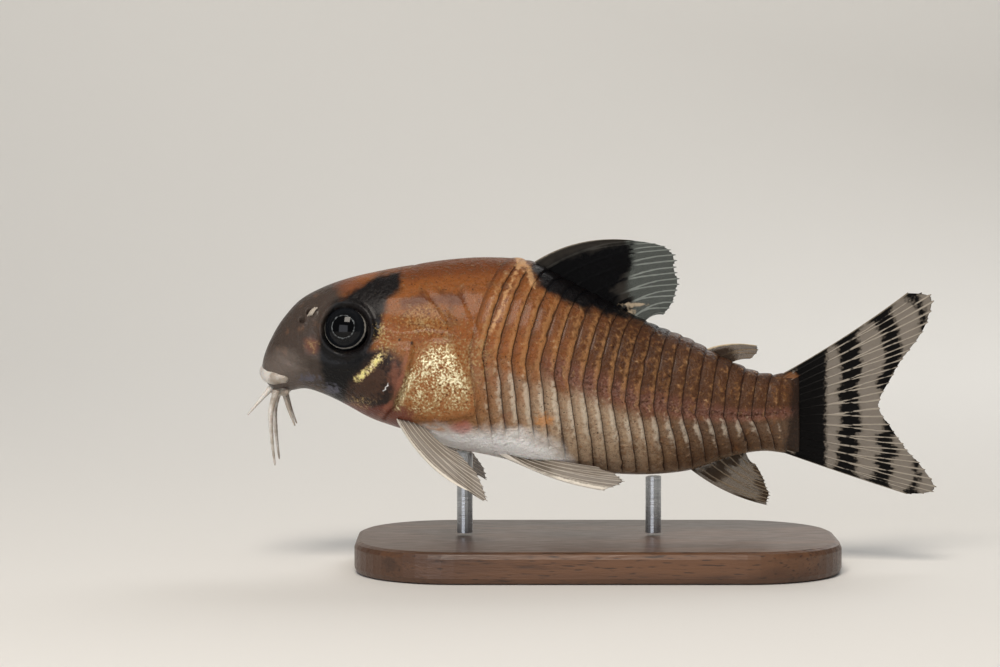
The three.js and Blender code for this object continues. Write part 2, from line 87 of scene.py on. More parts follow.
def insideBy(outline, x, z):
    # how far a point lies inside an outline, in millimetres, and below zero outside it
    outline = outline + outline[:1]
    inside = np.zeros(x.shape, bool)
    for (ax, az), (bx, bz) in zip(outline, outline[1:]):
        inside ^= ((az > z) != (bz > z)) & (x < (bx - ax) * (z - az) / (bz - az + 1e-12) + ax)
    nearest = lineBy(outline, x, z)
    return np.where(inside, nearest, -nearest)


def bell(distance, width):
    # 1 at no distance, fading to nothing within about two widths
    return np.exp(-(distance / width) ** 2)


def spot(x, z, centreX, centreZ, wide, tall):
    return bell(x - centreX, wide) * bell(z - centreZ, tall)


def sheet(name, columns, rows, shape, marks, slotName, instead=()):
    # a closed piece: u and v of a grid, from 0 to 1, are laid on a shape whose v ends meet
    bm = bmesh.new()
    bmesh.ops.create_grid(bm, x_segments=columns, y_segments=rows, size=0.5)
    uv = np.array([v.co[:2] for v in bm.verts]) + 0.5
    points = shape(uv[:, 0], uv[:, 1]) * mm
    layers = {key: bm.verts.layers.float.new(key) for key in ("u", "v")}
    for vert, point, (u, v) in zip(bm.verts, points, uv):
        vert.co = point
        vert[layers["u"]] = u
        vert[layers["v"]] = v
    bmesh.ops.remove_doubles(bm, verts=bm.verts, dist=1e-7)
    bmesh.ops.dissolve_degenerate(bm, edges=bm.edges, dist=1e-8)
    bmesh.ops.holes_fill(bm, edges=[e for e in bm.edges if e.is_boundary], sides=0)
    bmesh.ops.recalc_face_normals(bm, faces=bm.faces)
    for face in bm.faces:
        face.smooth = True
    mesh = bpy.data.meshes.new(name)
    bm.to_mesh(mesh)
    bm.free()
    piece = bpy.data.objects.new(name, mesh)
    bpy.context.collection.objects.link(piece)
    count = len(mesh.vertices)
    places = np.zeros(count * 3, np.float32)
    mesh.vertices.foreach_get("co", places)
    given = {key: np.zeros(count, np.float32) for key in layers}
    for key, values in given.items():
        mesh.attributes[key].data.foreach_get("value", values)
    for key, values in marks(places.reshape(-1, 3) / mm, **given).items():
        mesh.attributes.new(key, "FLOAT", "POINT").data.foreach_set("value", np.asarray(values, np.float32))
    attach(piece, "root")
    if instead:
        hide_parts(*instead)
    return piece


def addNode(tree, kind, inputs=None, **settings):
    node = tree.nodes.new(kind)
    for key, value in settings.items():
        setattr(node, key, value)
    for key, value in (inputs or {}).items():
        if isinstance(value, bpy.types.NodeSocket):
            tree.links.new(value, node.inputs[key])
        else:
            node.inputs[key].default_value = value
    return node


def newMaterial(name):
    material = bpy.data.materials.new(name)
    material.use_nodes = True
    tree = material.node_tree
    return material, tree, tree.nodes["Principled BSDF"]


def noises(tree, sizes, stretch=(1, 1, 1)):
    # noise fields by the size of their features in millimetres, each from -0.5 to 0.5
    place = addNode(tree, "ShaderNodeTexCoord").outputs["Object"]
    place = addNode(tree, "ShaderNodeVectorMath", {0: place, 1: [1 / (part * mm) for part in stretch]},
                    operation="MULTIPLY").outputs[0]
    fields = {}
    for key, size in sizes.items():
        grain = addNode(tree, "ShaderNodeTexNoise", {"Vector": place, "Scale": 1 / size, "Detail": 3.0})
        fields[key] = addNode(tree, "ShaderNodeMapRange",
                              {0: grain.outputs[0], 1: 0.25, 2: 0.75, 3: -0.5, 4: 0.5}).outputs[0]
    return fields


def layered(tree, shade, layers, fields):
    # lays colours over one another: each layer is (colour, mark, low, high, noise, its strength, cover)
    for colour, mark, low, high, grain, strength, cover in layers:
        value = mark
        if isinstance(mark, str):
            value = addNode(tree, "ShaderNodeAttribute", attribute_name=mark).outputs["Fac"]
        value = addNode(tree, "ShaderNodeMath", {0: fields[grain], 1: strength, 2: value},
                        operation="MULTIPLY_ADD").outputs[0]
        value = addNode(tree, "ShaderNodeMapRange", {0: value, 1: low, 2: high, 3: 0.0, 4: cover},
                        interpolation_type="SMOOTHSTEP").outputs[0]
        shade = addNode(tree, "ShaderNodeMix", {0: value, 6: shade, 7: linear(colour)},
                        data_type="RGBA").outputs[2]
    return shade


# Body
print("shaping the body")
body = {
    "columnsHead": 170, "columnsPerPlate": 11, "columnsTail": 12, "rowsAround": 208,
    "firstSeamX": -12.2, "lastSeamX": 17.2, "endX": 19.2, "plates": 22,
    "plateStep": 0.17, "plateSwell": 0.05, "seamWobble": 0.1, "sideGroove": 0.16, "sideGrooveWidth": 0.035,
}
seam = {"frontLean": 4.3, "rearLean": 1.0, "upperCurve": 1.2, "lowerLean": 1.15, "lowerCurve": 2.6}
# Cross-sections from snout to tail: the outline's top and underside as x and z, half the width, how
# high the widest point lies, and how square the section is above it and below it
sections = np.array([
    [-31.9, 19.3, -31.9, 19.1, 0.1, 0.5, 2, 2], [-31.6, 20.5, -31.6, 17.9, 1.5, 0.48, 2, 2],
    [-31.0, 21.9, -30.7, 17.0, 2.35, 0.44, 2, 2.1], [-30.0, 23.6, -29.3, 16.9, 3.0, 0.42, 2, 2.1],
    [-28.3, 25.5, -27.7, 17.1, 3.6, 0.42, 2.1, 2.1], [-26.2, 26.7, -25.8, 16.5, 4.15, 0.44, 2.2, 2.1],
    [-23.7, 27.6, -23.5, 15.4, 4.75, 0.45, 2.2, 2.1], [-20.7, 28.3, -20.7, 14.0, 5.5, 0.42, 2.1, 2.2],
    [-17.4, 28.9, -17.4, 12.9, 6.15, 0.38, 2, 2.5], [-14.0, 29.4, -14.0, 11.6, 6.5, 0.36, 1.9, 2.7],
    [-10.2, 29.6, -10.2, 10.8, 6.6, 0.37, 1.85, 2.8], [-6.4, 29.2, -6.4, 9.9, 6.4, 0.4, 1.85, 2.7],
    [-2.5, 27.2, -2.5, 9.3, 5.95, 0.42, 1.9, 2.5], [1.3, 25.2, 1.3, 9.0, 5.3, 0.44, 2, 2.3],
    [5.0, 23.3, 5.0, 8.9, 4.5, 0.46, 2, 2.2], [8.9, 21.7, 8.9, 9.3, 3.6, 0.48, 2, 2],
    [12.4, 19.8, 12.4, 10.5, 2.75, 0.5, 2, 2], [15.6, 18.5, 15.6, 11.1, 2.0, 0.5, 2, 2],
    [18.0, 18.4, 18.0, 10.9, 1.3, 0.5, 2, 2], [19.3, 18.6, 19.3, 10.7, 0.75, 0.5, 2, 2],
])
sideLine = np.array([
    [-31.9, 19.1], [-28.5, 20.6], [-23.7, 21.7], [-17.0, 21.3], [-11.1, 20.7], [-7.3, 20.0],
    [-3.5, 18.6], [0.3, 17.2], [4.1, 15.9], [8.9, 14.9], [13.6, 14.5], [19.3, 14.8],
])
placeSteps = np.linspace(0, len(sections) - 1, 4000)
placeX = through(sections[:, 0], placeSteps)


def placeAt(x):
    return np.interp(x, placeX, placeSteps)


def skinPoint(place, angle, side, swell=0.0):
    # a point of the skin: the angle runs from 0 at the back to pi at the belly, on one side
    topX, topZ, underX, underZ, half, level, roof, keel = through(sections, place).T
    rise = np.cos(angle)
    power = 2 / np.where(rise > 0, roof, keel)
    middleX, middleZ = underX + (topX - underX) * level, underZ + (topZ - underZ) * level
    endX, endZ = np.where(rise > 0, topX, underX), np.where(rise > 0, topZ, underZ)
    reach = np.maximum(np.hypot(endX - middleX, endZ - middleZ), 0.02)
    share = np.abs(rise) ** power * (1 + swell / reach)
    width = np.abs(np.sin(angle)) ** power * (half + swell)
    return np.stack([middleX + (endX - middleX) * share, side * width,
                     middleZ + (endZ - middleZ) * share], 1)


def lineAngle(place):
    # the angle at which a section meets the side line
    topX, topZ, underX, underZ, half, level, roof, keel = through(sections, place).T
    middleX, middleZ = underX + (topX - underX) * level, underZ + (topZ - underZ) * level
    height = np.interp(middleX, sideLine[:, 0], sideLine[:, 1]) - middleZ
    end = np.where(height > 0, topZ, underZ) - middleZ
    turn = np.arccos(np.clip(np.abs(height) / (np.abs(end) + 1e-6), 0, 0.6)
                     ** (np.where(height > 0, roof, keel) / 2))
    return np.where(height > 0, turn, math.pi - turn)


def halfWidth(x, z):
    # half the body's width at one place
    topX, topZ, underX, underZ, half, level, roof, keel = through(sections, placeAt(np.atleast_1d(x))).T
    middle = underZ + (topZ - underZ) * level
    up = z > middle
    share = np.clip(np.abs((z - middle) / (np.where(up, topZ, underZ) - middle)), 0, 1)
    power = np.where(up, roof, keel)
    return float((half * (1 - share ** power) ** (1 / power))[0])


def seamShift(x, line):
    # how far a seam lies behind its place on the side line: it leans back towards the back and the belly
    fade = smooth(body["firstSeamX"] - 6, body["firstSeamX"], x) * (1 - smooth(16.6, 18.4, x))
    lean = seam["frontLean"] + (seam["rearLean"] - seam["frontLean"]) * smooth(-12, 15, x)
    upper = lean * (1 - np.minimum(line, 1)) ** seam["upperCurve"]
    lower = seam["lowerLean"] * (1 - (1 - np.clip(line - 1, 0, 1)) ** seam["lowerCurve"])
    return fade * np.where(line < 1, upper, lower)


headColumns = body["columnsHead"]
plateColumns = body["plates"] * body["columnsPerPlate"]
columnCount = headColumns + plateColumns + body["columnsTail"]
headPlaces = placeAt(np.array([body["firstSeamX"]]))[0] * np.linspace(0, 1, headColumns + 1) ** 1.25
stationX = np.concatenate([
    through(sections[:, 0], headPlaces),
    np.linspace(body["firstSeamX"], body["lastSeamX"], plateColumns + 1)[1:],
    np.linspace(body["lastSeamX"], body["endX"], body["columnsTail"] + 1)[1:],
])
plateNumber = np.concatenate([
    np.linspace(-headColumns / body["columnsPerPlate"], 0, headColumns + 1),
    np.linspace(0, body["plates"], plateColumns + 1)[1:],
    np.full(body["columnsTail"], body["plates"]) + 0.5,
])

eye = {"x": -23.7, "z": 23.0, "side": 3.35, "radius": 2.12, "flat": 0.66, "turn": 0.2, "roll": 0.2,
       "pupil": 1.1, "ring": 1.96, "ringWidth": 0.07, "cornea": 0.06}
socket = {"floor": 1.95, "edge": 2.2, "depth": 1.5, "rim": 2.5, "rimWidth": 0.2, "rimLift": 0.24}
# Each nostril's x, z and radius, and what they have in common
nostrils = [(-27.9, 23.75, 0.26), (-27.1, 24.5, 0.38)]
nostril = {"depth": 0.6, "rim": 0.14, "rimWidth": 0.13, "rimLift": 0.14}
gillCover = {"front": -24.6, "full": -19.6, "low": 14.6, "high": 21.6, "lift": 0.42,
             "groove": 0.16, "grooveBehind": 0.25, "grooveWidth": 0.2}
# The head's bones and folds: a line as x and z, how far it stands out or sinks in, and its half width
headFolds = {
    "cheek bone": ([(-27.6, 20.6), (-25.2, 19.4), (-22.6, 19.7), (-20.8, 21.4)], 0.16, 0.5),
    "fold to the mouth": ([(-29.9, 20.4), (-28.4, 19.5), (-26.9, 19.2)], -0.14, 0.3),
    "fold behind the cheek": ([(-20.6, 22.6), (-20.0, 20.6), (-20.8, 18.2), (-22.6, 16.4)], -0.12, 0.16),
    "front nape seam": ([(-17.2, 28.9), (-16.2, 26.6), (-14.4, 24.6), (-13.2, 22.4)], -0.13, 0.14),
    "rear nape seam": ([(-13.4, 29.4), (-13.0, 27.0), (-11.9, 24.6), (-11.2, 22.6)], -0.13, 0.14),
    "seam over the gill cover": ([(-20.9, 23.6), (-18.4, 22.9), (-16.0, 23.3), (-13.6, 22.9)], -0.13, 0.14),
}
shoulderLift = 0.17
# The rear edge of the gill cover, and the shoulder's bony plate behind it
gillEdge = [(-17.6, 22.9), (-17.35, 21.4), (-17.5, 20.0), (-18.1, 18.0), (-19.0, 16.2), (-20.2, 14.6)]
shoulderPlate = [(-17.4, 21.1), (-15.3, 22.1), (-13.5, 21.7), (-12.1, 18.9), (-11.1, 16.8), (-11.7, 15.0),
                 (-15.0, 14.4), (-18.6, 14.6), (-18.2, 16.5), (-17.4, 18.7)]
# The black mask, the black patch under the dorsal fin, the white belly and the cheek
maskOutline = [(-20.4, 28.2), (-18.6, 28.4), (-18.6, 26.7), (-19.8, 25.7), (-20.2, 23.8), (-20.9, 21.9),
               (-21.4, 20.6), (-22.5, 19.2), (-23.2, 18.3), (-23.9, 17.0), (-24.7, 15.9), (-25.5, 16.8),
               (-25.9, 18.1), (-26.2, 19.8), (-26.2, 21.2), (-25.9, 23.8), (-25.0, 25.4), (-23.3, 26.5),
               (-22.0, 27.3)]
backPatch = [(-7.2, 32.0), (-6.2, 29.0), (-5.7, 27.2), (-3.5, 25.7), (0.3, 24.5), (4.1, 23.6), (6.4, 22.2),
             (7.5, 26.0), (0.0, 33.0)]
whiteBelly = [(-17.6, 12.8), (-15.0, 13.1), (-12.1, 12.9), (-7.3, 12.9), (-5.0, 12.0), (-3.4, 10.4),
              (-3.0, 8.0), (-7.3, 7.0), (-16.0, 8.0), (-20.0, 13.0)]
cheek = [(-20.6, 21.0), (-18.9, 20.2), (-18.5, 18.4), (-19.6, 16.2), (-21.4, 14.9), (-24.9, 14.9),
         (-24.6, 17.4), (-22.6, 20.4)]
plateWobble = draw.uniform(-1, 1, (2, body["plates"] + 40))  # for each plate of a row, with some to spare


def headRelief(x, z):
    # how far the head's bones stand out of its smooth form, seen from the side
    fromEye = np.hypot(x - eye["x"], z - eye["z"])
    swell = socket["rimLift"] * bell(fromEye - socket["rim"], socket["rimWidth"])
    swell -= socket["depth"] * (1 - smooth(socket["floor"], socket["edge"], fromEye))
    for holeX, holeZ, radius in nostrils:
        away = np.hypot(x - holeX, z - holeZ)
        swell += nostril["rimLift"] * bell(away - radius - nostril["rim"], nostril["rimWidth"])
        swell -= nostril["depth"] * (1 - smooth(radius * 0.6, radius, away))
    edgeX, edgeZ = zip(*gillEdge[::-1])
    behind = x - np.interp(z, edgeZ, edgeX)
    tall = smooth(gillCover["low"] - 1, gillCover["low"] + 1.4, z)
    tall = tall * (1 - smooth(gillCover["high"] - 0.8, gillCover["high"] + 0.5, z))
    cover = smooth(gillCover["front"], gillCover["full"], x) * (1 - smooth(-0.08, 0.1, behind))
    swell += gillCover["lift"] * tall * cover
    swell -= gillCover["groove"] * tall * bell(behind - gillCover["grooveBehind"], gillCover["grooveWidth"])
    for line, lift, width in headFolds.values():
        swell += lift * bell(lineBy(line, x, z), width)
    return swell + shoulderLift * smooth(-0.1, 0.12, insideBy(shoulderPlate, x, z))


def bodyLines(u, v):
    # x, the plate's number, the height from 0 at the back through 1 at the side line to 2, and the side
    column = u * columnCount
    x = np.interp(column, np.arange(columnCount + 1), stationX)
    number = np.interp(column, np.arange(columnCount + 1), plateNumber)
    line = 2 * np.abs(2 * v - 1)
    return x, number, line, np.where(v < 0.5, -1.0, 1.0)


def bodyShape(u, v):
    x, number, line, side = bodyLines(u, v)
    which = np.clip(np.floor(number + 0.04).astype(int), 0, body["plates"])
    row = (line > 1).astype(int)
    shift = seamShift(x, line)
    nearSide = np.abs(line - 1)
    wobble = body["seamWobble"] * plateWobble[row, which] * np.sin(np.pi * np.clip(nearSide, 0, 1))
    place = placeAt(x + shift + wobble * smooth(-12, -10, x))
    join = lineAngle(place)
    angle = np.where(line < 1, join * line, join + (math.pi - join) * (line - 1))
    bare = skinPoint(place, angle, side)
    phase = number - np.floor(number)
    plated = smooth(-0.06, 0.06, number) * (1 - smooth(-0.1, 0.2, number - body["plates"]))
    step = 0.25 + 0.75 * smooth(0.0, 0.85, phase)
    step = step * (1 - smooth(0.95, 1.0, phase)) * smooth(0.0, 0.12, phase)
    edges = smooth(0, 0.1, line) * (1 - smooth(1.7, 1.88, line))
    edges = edges * (1 - 0.85 * smooth(-0.9, 0.3, insideBy(whiteBelly, bare[:, 0], bare[:, 2])))
    rounded = smooth(0.0, 0.1, nearSide)
    swell = plated * edges * (body["plateStep"] * step * (0.35 + 0.65 * rounded)
                              + body["plateSwell"] * np.sin(np.pi * phase) * smooth(0.02, 0.3, nearSide))
    swell -= plated * body["sideGroove"] * bell(nearSide, body["sideGrooveWidth"])
    swell += headRelief(bare[:, 0], bare[:, 2]) * (1 - smooth(-11.5, -9.8, x))
    return skinPoint(place, angle, side, swell)


# Where the skin's colours lie, as x and z. Spots: centre, half width, half height and strength
skinSpots = {
    "opercle": [(-16.4, 24.2, 3.6, 2.6, 1)],
    "cheekRear": [(-19.0, 18.7, 0.8, 1.9, 1)],
    "maskEdge": [(-20.4, 22.4, 0.7, 1.9, 1)],
    "brow": [(-23.2, 27.0, 2.6, 0.9, 1), (-27.0, 21.4, 1.3, 1.3, 0.8)],
    "maskBlue": [(-25.1, 17.1, 1.1, 0.8, 1), (-27.3, 18.2, 1.3, 0.7, 1)],
    "pore": [(-17.5, 21.8, 0.3, 0.3, 1), (-18.6, 22.1, 0.22, 0.22, 1)],
    "blush": [(-12.9, 13.9, 1.6, 0.9, 1), (-8.6, 14.6, 1.0, 0.8, 0.5)],
    "amber": [(-5.2, 14.6, 1.1, 0.9, 1), (-15.4, 13.7, 1.8, 0.6, 0.6)],
    "gilt": [(-14.9, 19.8, 2.6, 2.4, 0.62), (-17.4, 17.4, 0.9, 1.6, 0.35), (-22.2, 16.0, 1.7, 0.9, 0.5),
             (-19.8, 22.0, 1.1, 2.0, 0.45), (-16.8, 23.6, 2.8, 2.0, 0.34), (-11.0, 21.0, 2.2, 4.5, 0.34),
             (-27.0, 21.4, 1.2, 1.2, 0.3)],
}
# Lines: their points, half width and strength
goldStreak = [(-22.6, 18.3), (-21.5, 19.3), (-20.5, 20.4)]
skinLines = {
    "gold": [(goldStreak, 0.4, 1)],
    "gilt": [(goldStreak, 0.4, 1), ([(-18.9, 15.6), (-18.1, 17.6), (-17.3, 19.2)], 0.4, 0.9)],
    "gill": [([(x - 0.5, z) for x, z in gillEdge[1:]], 0.36, 1)],
    "gillGlint": [([(-20.1, 17.3), (-19.6, 18.1)], 0.1, 1)],
    "chest": [([(-18.9, 15.6), (-18.0, 17.4), (-17.2, 19.4)], 0.6, 1)],
    "streak": [([(-18.2, 25.5), (-15.9, 25.9), (-12.8, 25.7)], 0.7, 1)],
    "cream": [([(-7.6, 29.6), (-6.6, 28.6), (-6.1, 27.2)], 0.4, 1),
              ([(-7.2, 29.4), (-8.6, 26.5), (-10.2, 22.6)], 0.3, 0.8)],
}
# Areas: their outlines
skinAreas = {"mask": maskOutline, "backPatch": backPatch, "belly": whiteBelly, "cheek": cheek,
             "shoulder": shoulderPlate}


def bodyMarks(points, u, v):
    number, line = bodyLines(u, v)[1:3]
    px, py, pz = points.T
    fromBack = np.interp(px, sections[:, 0], sections[:, 1]) - pz
    lower = line - 1
    wobble = 0.05 * plateWobble[0, np.clip(number.astype(int), 0, body["plates"])]
    below = smooth(-0.08, 0.16, lower + wobble)
    marks = {key: insideBy(outline, px, pz) for key, outline in skinAreas.items()}
    for key, spots in skinSpots.items():
        marks[key] = sum(strength * spot(px, pz, *place) for *place, strength in spots)
    for key, lines in skinLines.items():
        marks[key] = marks.get(key, 0) + sum(
            strength * bell(lineBy(points, px, pz), width) for points, width, strength in lines)
    marks["gilt"] += 0.62 * smooth(-0.2, 1.2, marks["shoulder"])
    marks.update({
        "plate": number,
        "plated": smooth(-0.06, 0.06, number) * (1 - smooth(-0.3, 0.0, number - body["plates"]))
        * smooth(0.0, 0.08, line) * (1 - smooth(1.66, 1.86, line)) * (1 - smooth(-1.0, 0.2, marks["belly"])),
        "rearward": smooth(-16, 14, px), "lower": lower, "under": smooth(1.45, 1.95, line),
        "middle": below * bell(px + 1.0, 8.5), "tailward": below * smooth(2, 12, px),
        "ridge": smooth(1.6, 0.2, fromBack) * smooth(-14, -6, px),
        "junction": bell(line - 0.97, 0.13) * smooth(-9, -3, px),
        # strongest just under the side line, where light from above falls on the lower plates' tops: a
        # painted highlight over their partly silver tone
        "silverAndHighlight": (0.22 + 0.85 * bell(lower - 0.16, 0.17)) * below
        * smooth(-12.5, -8, px) * (1 - 0.4 * smooth(8, 17, px)),
        # a painted highlight on the rear edges of the plates above the side line
        "paintedSheen": (1 - below) * (0.5 + 0.5 * smooth(0.2, 0.9, line)) * (1 - 0.6 * smooth(-4, 12, px)),
        "saddle": spot(px, pz, 2.5, 21.0, 6.0, 4.5) * (1 - below),
        "nape": smooth(2.6, 0.4, fromBack) * smooth(-20.5, -17, px) * smooth(-5, -9, px),
        "snout": smooth(-22.6, -25.4, px), "snoutLow": smooth(-26.0, -29.0, px) * smooth(22.5, 19.5, pz),
        # a painted highlight: a pale rim along the top of the snout, where its outline meets the light at a
        # grazing angle
        "snoutRimHighlight": smooth(1.1, 0.0, np.abs(py)) * smooth(-19, -25, px) * smooth(20, 22, pz),
        "chin": smooth(16.6, 15.2, pz) * smooth(-25.5, -23.5, px) * smooth(-15.5, -18.5, px),
        "tailRoot": smooth(17.3, 18.9, px + 0.1 * (15 - pz)),
    })
    return marks


skin = sheet("skin", columnCount, body["rowsAround"], bodyShape, bodyMarks, "plated_skin",
             ("head", "trunk", "tail"))

# Living corydoras skin: bony plates under a thin wet skin, so deep colour with a broken wet shine. Each
# plate's front edge is darkened with painted shade where it lies under the plate ahead, and its rear edge
# gets a painted highlight: pale above the side line, silvery below it, where the plates are partly silver
# too
skinMaterial, tree, shader = newMaterial("wet plated catfish skin")
fields = noises(tree, {"broad": 3.2, "patch": 1.2, "grain": 0.45, "speck": 0.22})
marks = {key: addNode(tree, "ShaderNodeAttribute", attribute_name=key).outputs["Fac"]
         for key in ("plate", "plated", "silverAndHighlight", "paintedSheen", "gilt")}
plate = addNode(tree, "ShaderNodeMath", {0: fields["patch"], 1: 0.1, 2: marks["plate"]},
                operation="MULTIPLY_ADD").outputs[0]
phase = addNode(tree, "ShaderNodeMath", {0: plate}, operation="FRACT").outputs[0]
nearSeam = addNode(tree, "ShaderNodeMath", {0: plate, 1: 0.5}, operation="PINGPONG").outputs[0]
# groove is painted shade on each plate's front, under the raised rear edge of the plate ahead
bands = {}
for key, source, low, high in (("seam", nearSeam, 0.07, 0.012), ("groove", phase, 0.45, 0.05),
                               ("rear", phase, 0.35, 0.85)):
    band = addNode(tree, "ShaderNodeMapRange", {0: source, 1: low, 2: high, 3: 0.0, 4: 1.0},
                   interpolation_type="SMOOTHSTEP").outputs[0]
    bands[key] = addNode(tree, "ShaderNodeMath", {0: band, 1: marks["plated"]},
                         operation="MULTIPLY").outputs[0]
# the painted highlights on the plates' rear parts: silvery below the side line, pale above it
for key in ("silverAndHighlight", "paintedSheen"):
    bands[key] = addNode(tree, "ShaderNodeMath", {0: bands["rear"], 1: marks[key]},
                         operation="MULTIPLY").outputs[0]
glitter = addNode(tree, "ShaderNodeMath", {0: fields["speck"], 1: 2.2, 2: 0.75},
                  operation="MULTIPLY_ADD").outputs[0]
glitter = addNode(tree, "ShaderNodeMath", {0: fields["patch"], 1: 0.8, 2: glitter},
                  operation="MULTIPLY_ADD").outputs[0]
glitter = addNode(tree, "ShaderNodeMath", {0: glitter, 1: marks["gilt"]}, operation="MULTIPLY").outputs[0]
skinLayers = [
    # flanks: copper turns to maroon brown towards the tail, and grey beige below the side line
    ("#4b3323", "rearward", 0.0, 0.9, "broad", 0.3, 0.92),
    ("#38261d", "ridge", 0.2, 1.1, "patch", 0.4, 0.6),
    ("#6f3c1d", "nape", 0.1, 0.9, "broad", 0.5, 0.85),
    ("#864e18", "opercle", 0.2, 0.95, "patch", 0.6, 0.9),
    ("#836242", "lower", -0.16, 0.3, "patch", 0.2, 0.8),
    ("#a58f76", "middle", 0.1, 0.95, "patch", 0.4, 0.9),
    ("#5e4a3a", "tailward", 0.1, 0.9, "patch", 0.4, 0.85),
    ("#a8947d", "under", 0.05, 0.8, "patch", 0.3, 0.6),
    ("#3a2213", "saddle", 0.15, 1.0, "patch", 0.4, 0.6),
    ("#70473a", "junction", 0.25, 0.95, "grain", 0.5, 0.7),
    ("#2f1c15", "junction", 0.75, 1.25, "grain", 1.2, 0.6),
    ("#ab8478", "junction", 0.85, 1.4, "speck", 1.5, 0.45),
    ("#8e5a30", "shoulder", -0.7, 0.5, "patch", 0.8, 0.9),
    # mottling all over
    ("#4c2b16", fields["patch"], 0.0, 0.5, "grain", 0.6, 0.5),
    ("#a87640", fields["grain"], 0.05, 0.45, "patch", 0.5, 0.18),
    ("#c7965a", fields["speck"], 0.2, 0.45, "grain", 0.3, 0.22),
    ("#43230f", fields["speck"], 0.05, 0.4, "grain", -0.6, 0.4),
    ("#57300f", "opercle", 0.5, 1.1, "grain", 1.4, 0.5),
    ("#b98a4c", "opercle", 0.6, 1.6, "speck", 1.5, 0.5),
    ("#4e2a12", "nape", 0.6, 1.2, "grain", 1.5, 0.5),
    # plate edges: painted shade on the fronts, painted highlights on the rears, and the dark seams
    # painted shade on each plate's front, where it lies under the plate ahead
    ("#3c261a", bands["groove"], 0.1, 1.0, "grain", 0.5, 0.4),
    # painted highlight on the upper plates' rear edges
    ("#b98a5a", bands["paintedSheen"], 0.2, 0.95, "grain", 0.8, 0.4),
    # painted highlight on the lower plates' rear edges, over their partly silver tone
    ("#d2c7b5", bands["silverAndHighlight"], 0.25, 1.05, "grain", 1.0, 0.5),
    ("#26140c", bands["seam"], 0.25, 0.95, "grain", 0.5, 0.8),
    ("#24150d", fields["speck"], -0.26, -0.44, "grain", 0.25, 0.8),
    # belly, shoulder and nape
    ("#fbfaf7", "belly", -1.7, 0.5, "patch", 0.8, 0.98),
    ("#bb7c3e", "amber", 0.25, 1.1, "grain", 0.8, 0.7),
    ("#9a3f25", "blush", 0.3, 1.1, "patch", 0.7, 0.65),
    ("#5a2c10", "streak", 0.3, 1.0, "patch", 0.7, 0.85),
    ("#cfa272", "cream", 0.35, 1.0, "grain", 0.9, 0.7),
    ("#cbb287", "chest", 0.6, 1.3, "patch", 1.3, 0.7),
    # head
    ("#403934", "snout", 0.1, 0.9, "patch", 0.3, 0.96),
    ("#6b5140", "snout", 1.1, 1.4, "patch", 0.9, 0.55),
    ("#6a6059", "snoutLow", 0.2, 1.0, "patch", 0.4, 0.75),
    ("#6f432f", "brow", 0.3, 1.0, "patch", 0.6, 0.75),
    # painted highlight: a pale rim along the snout's top outline
    ("#8d857c", "snoutRimHighlight", 0.2, 1.2, "patch", 0.4, 0.4),
    ("#1d1412", "cheek", -0.9, 0.2, "patch", 0.6, 0.97),
    ("#5a3f30", "cheek", 0.5, 1.8, "grain", 2.0, 0.4),
    ("#7a4d3b", "cheekRear", 0.2, 1.1, "grain", 0.6, 0.75),
    ("#6c3a2e", "chin", 0.25, 0.9, "patch", 0.6, 0.85),
    ("#08080a", "mask", -0.4, 0.42, "patch", 0.55, 0.99),
    ("#5c5b66", "maskBlue", 0.4, 1.1, "grain", 1.0, 0.85),
    ("#9c8652", "maskEdge", 0.6, 1.3, "speck", 1.6, 0.8),
    ("#a58b60", glitter, 0.18, 0.7, "grain", 0.3, 0.7),
    ("#d8cba4", glitter, 0.6, 1.15, "grain", 0.3, 0.85),
    ("#fbf3cf", glitter, 1.15, 1.6, "grain", 0.3, 0.95),
    ("#f0e596", "gold", 0.5, 1.2, "grain", 1.2, 0.85),
    ("#945c45", "gill", 0.5, 1.3, "patch", 1.4, 0.6),
    # painted highlight: a white glint on the wet gill membrane
    ("#ffffff", "gillGlint", 0.4, 0.9, "grain", 0.2, 0.95),
    ("#1c1210", "pore", 0.4, 0.9, "grain", 0.4, 0.9),
    ("#070709", "backPatch", -0.5, 0.4, "patch", 0.8, 0.99),
    ("#211712", "tailRoot", 0.2, 1.0, "grain", 0.6, 0.9),
]
tree.links.new(layered(tree, linear("#864d20"), skinLayers, fields), shader.inputs["Base Color"])
metal = addNode(tree, "ShaderNodeMapRange", {0: glitter, 1: 0.5, 2: 1.2, 3: 0.0, 4: 0.4}).outputs[0]
tree.links.new(metal, shader.inputs["Metallic"])
rough = addNode(tree, "ShaderNodeMapRange",
                {0: fields["grain"], 1: -0.5, 2: 0.5, 3: 0.28, 4: 0.5}).outputs[0]
tree.links.new(rough, shader.inputs["Roughness"])
relief = addNode(tree, "ShaderNodeMath", {0: bands["seam"], 1: -0.7, 2: fields["grain"]},
                 operation="MULTIPLY_ADD").outputs[0]
relief = addNode(tree, "ShaderNodeMath", {0: fields["speck"], 1: 0.6, 2: relief},
                 operation="MULTIPLY_ADD").outputs[0]
bump = addNode(tree, "ShaderNodeBump", {"Height": relief, "Distance": 0.00009, "Strength": 0.8})
tree.links.new(bump.outputs[0], shader.inputs["Normal"])
shader.inputs["IOR"].default_value = 1.4
shader.inputs["Specular IOR Level"].default_value = 0.2
shader.inputs["Coat Weight"].default_value = 0.1
shader.inputs["Coat Roughness"].default_value = 0.12
shader.inputs["Subsurface Weight"].default_value = 0.08
shader.inputs["Subsurface Radius"].default_value = (0.0012, 0.0005, 0.0003)
skin.data.materials.append(skinMaterial)

# Fins
print("fins")


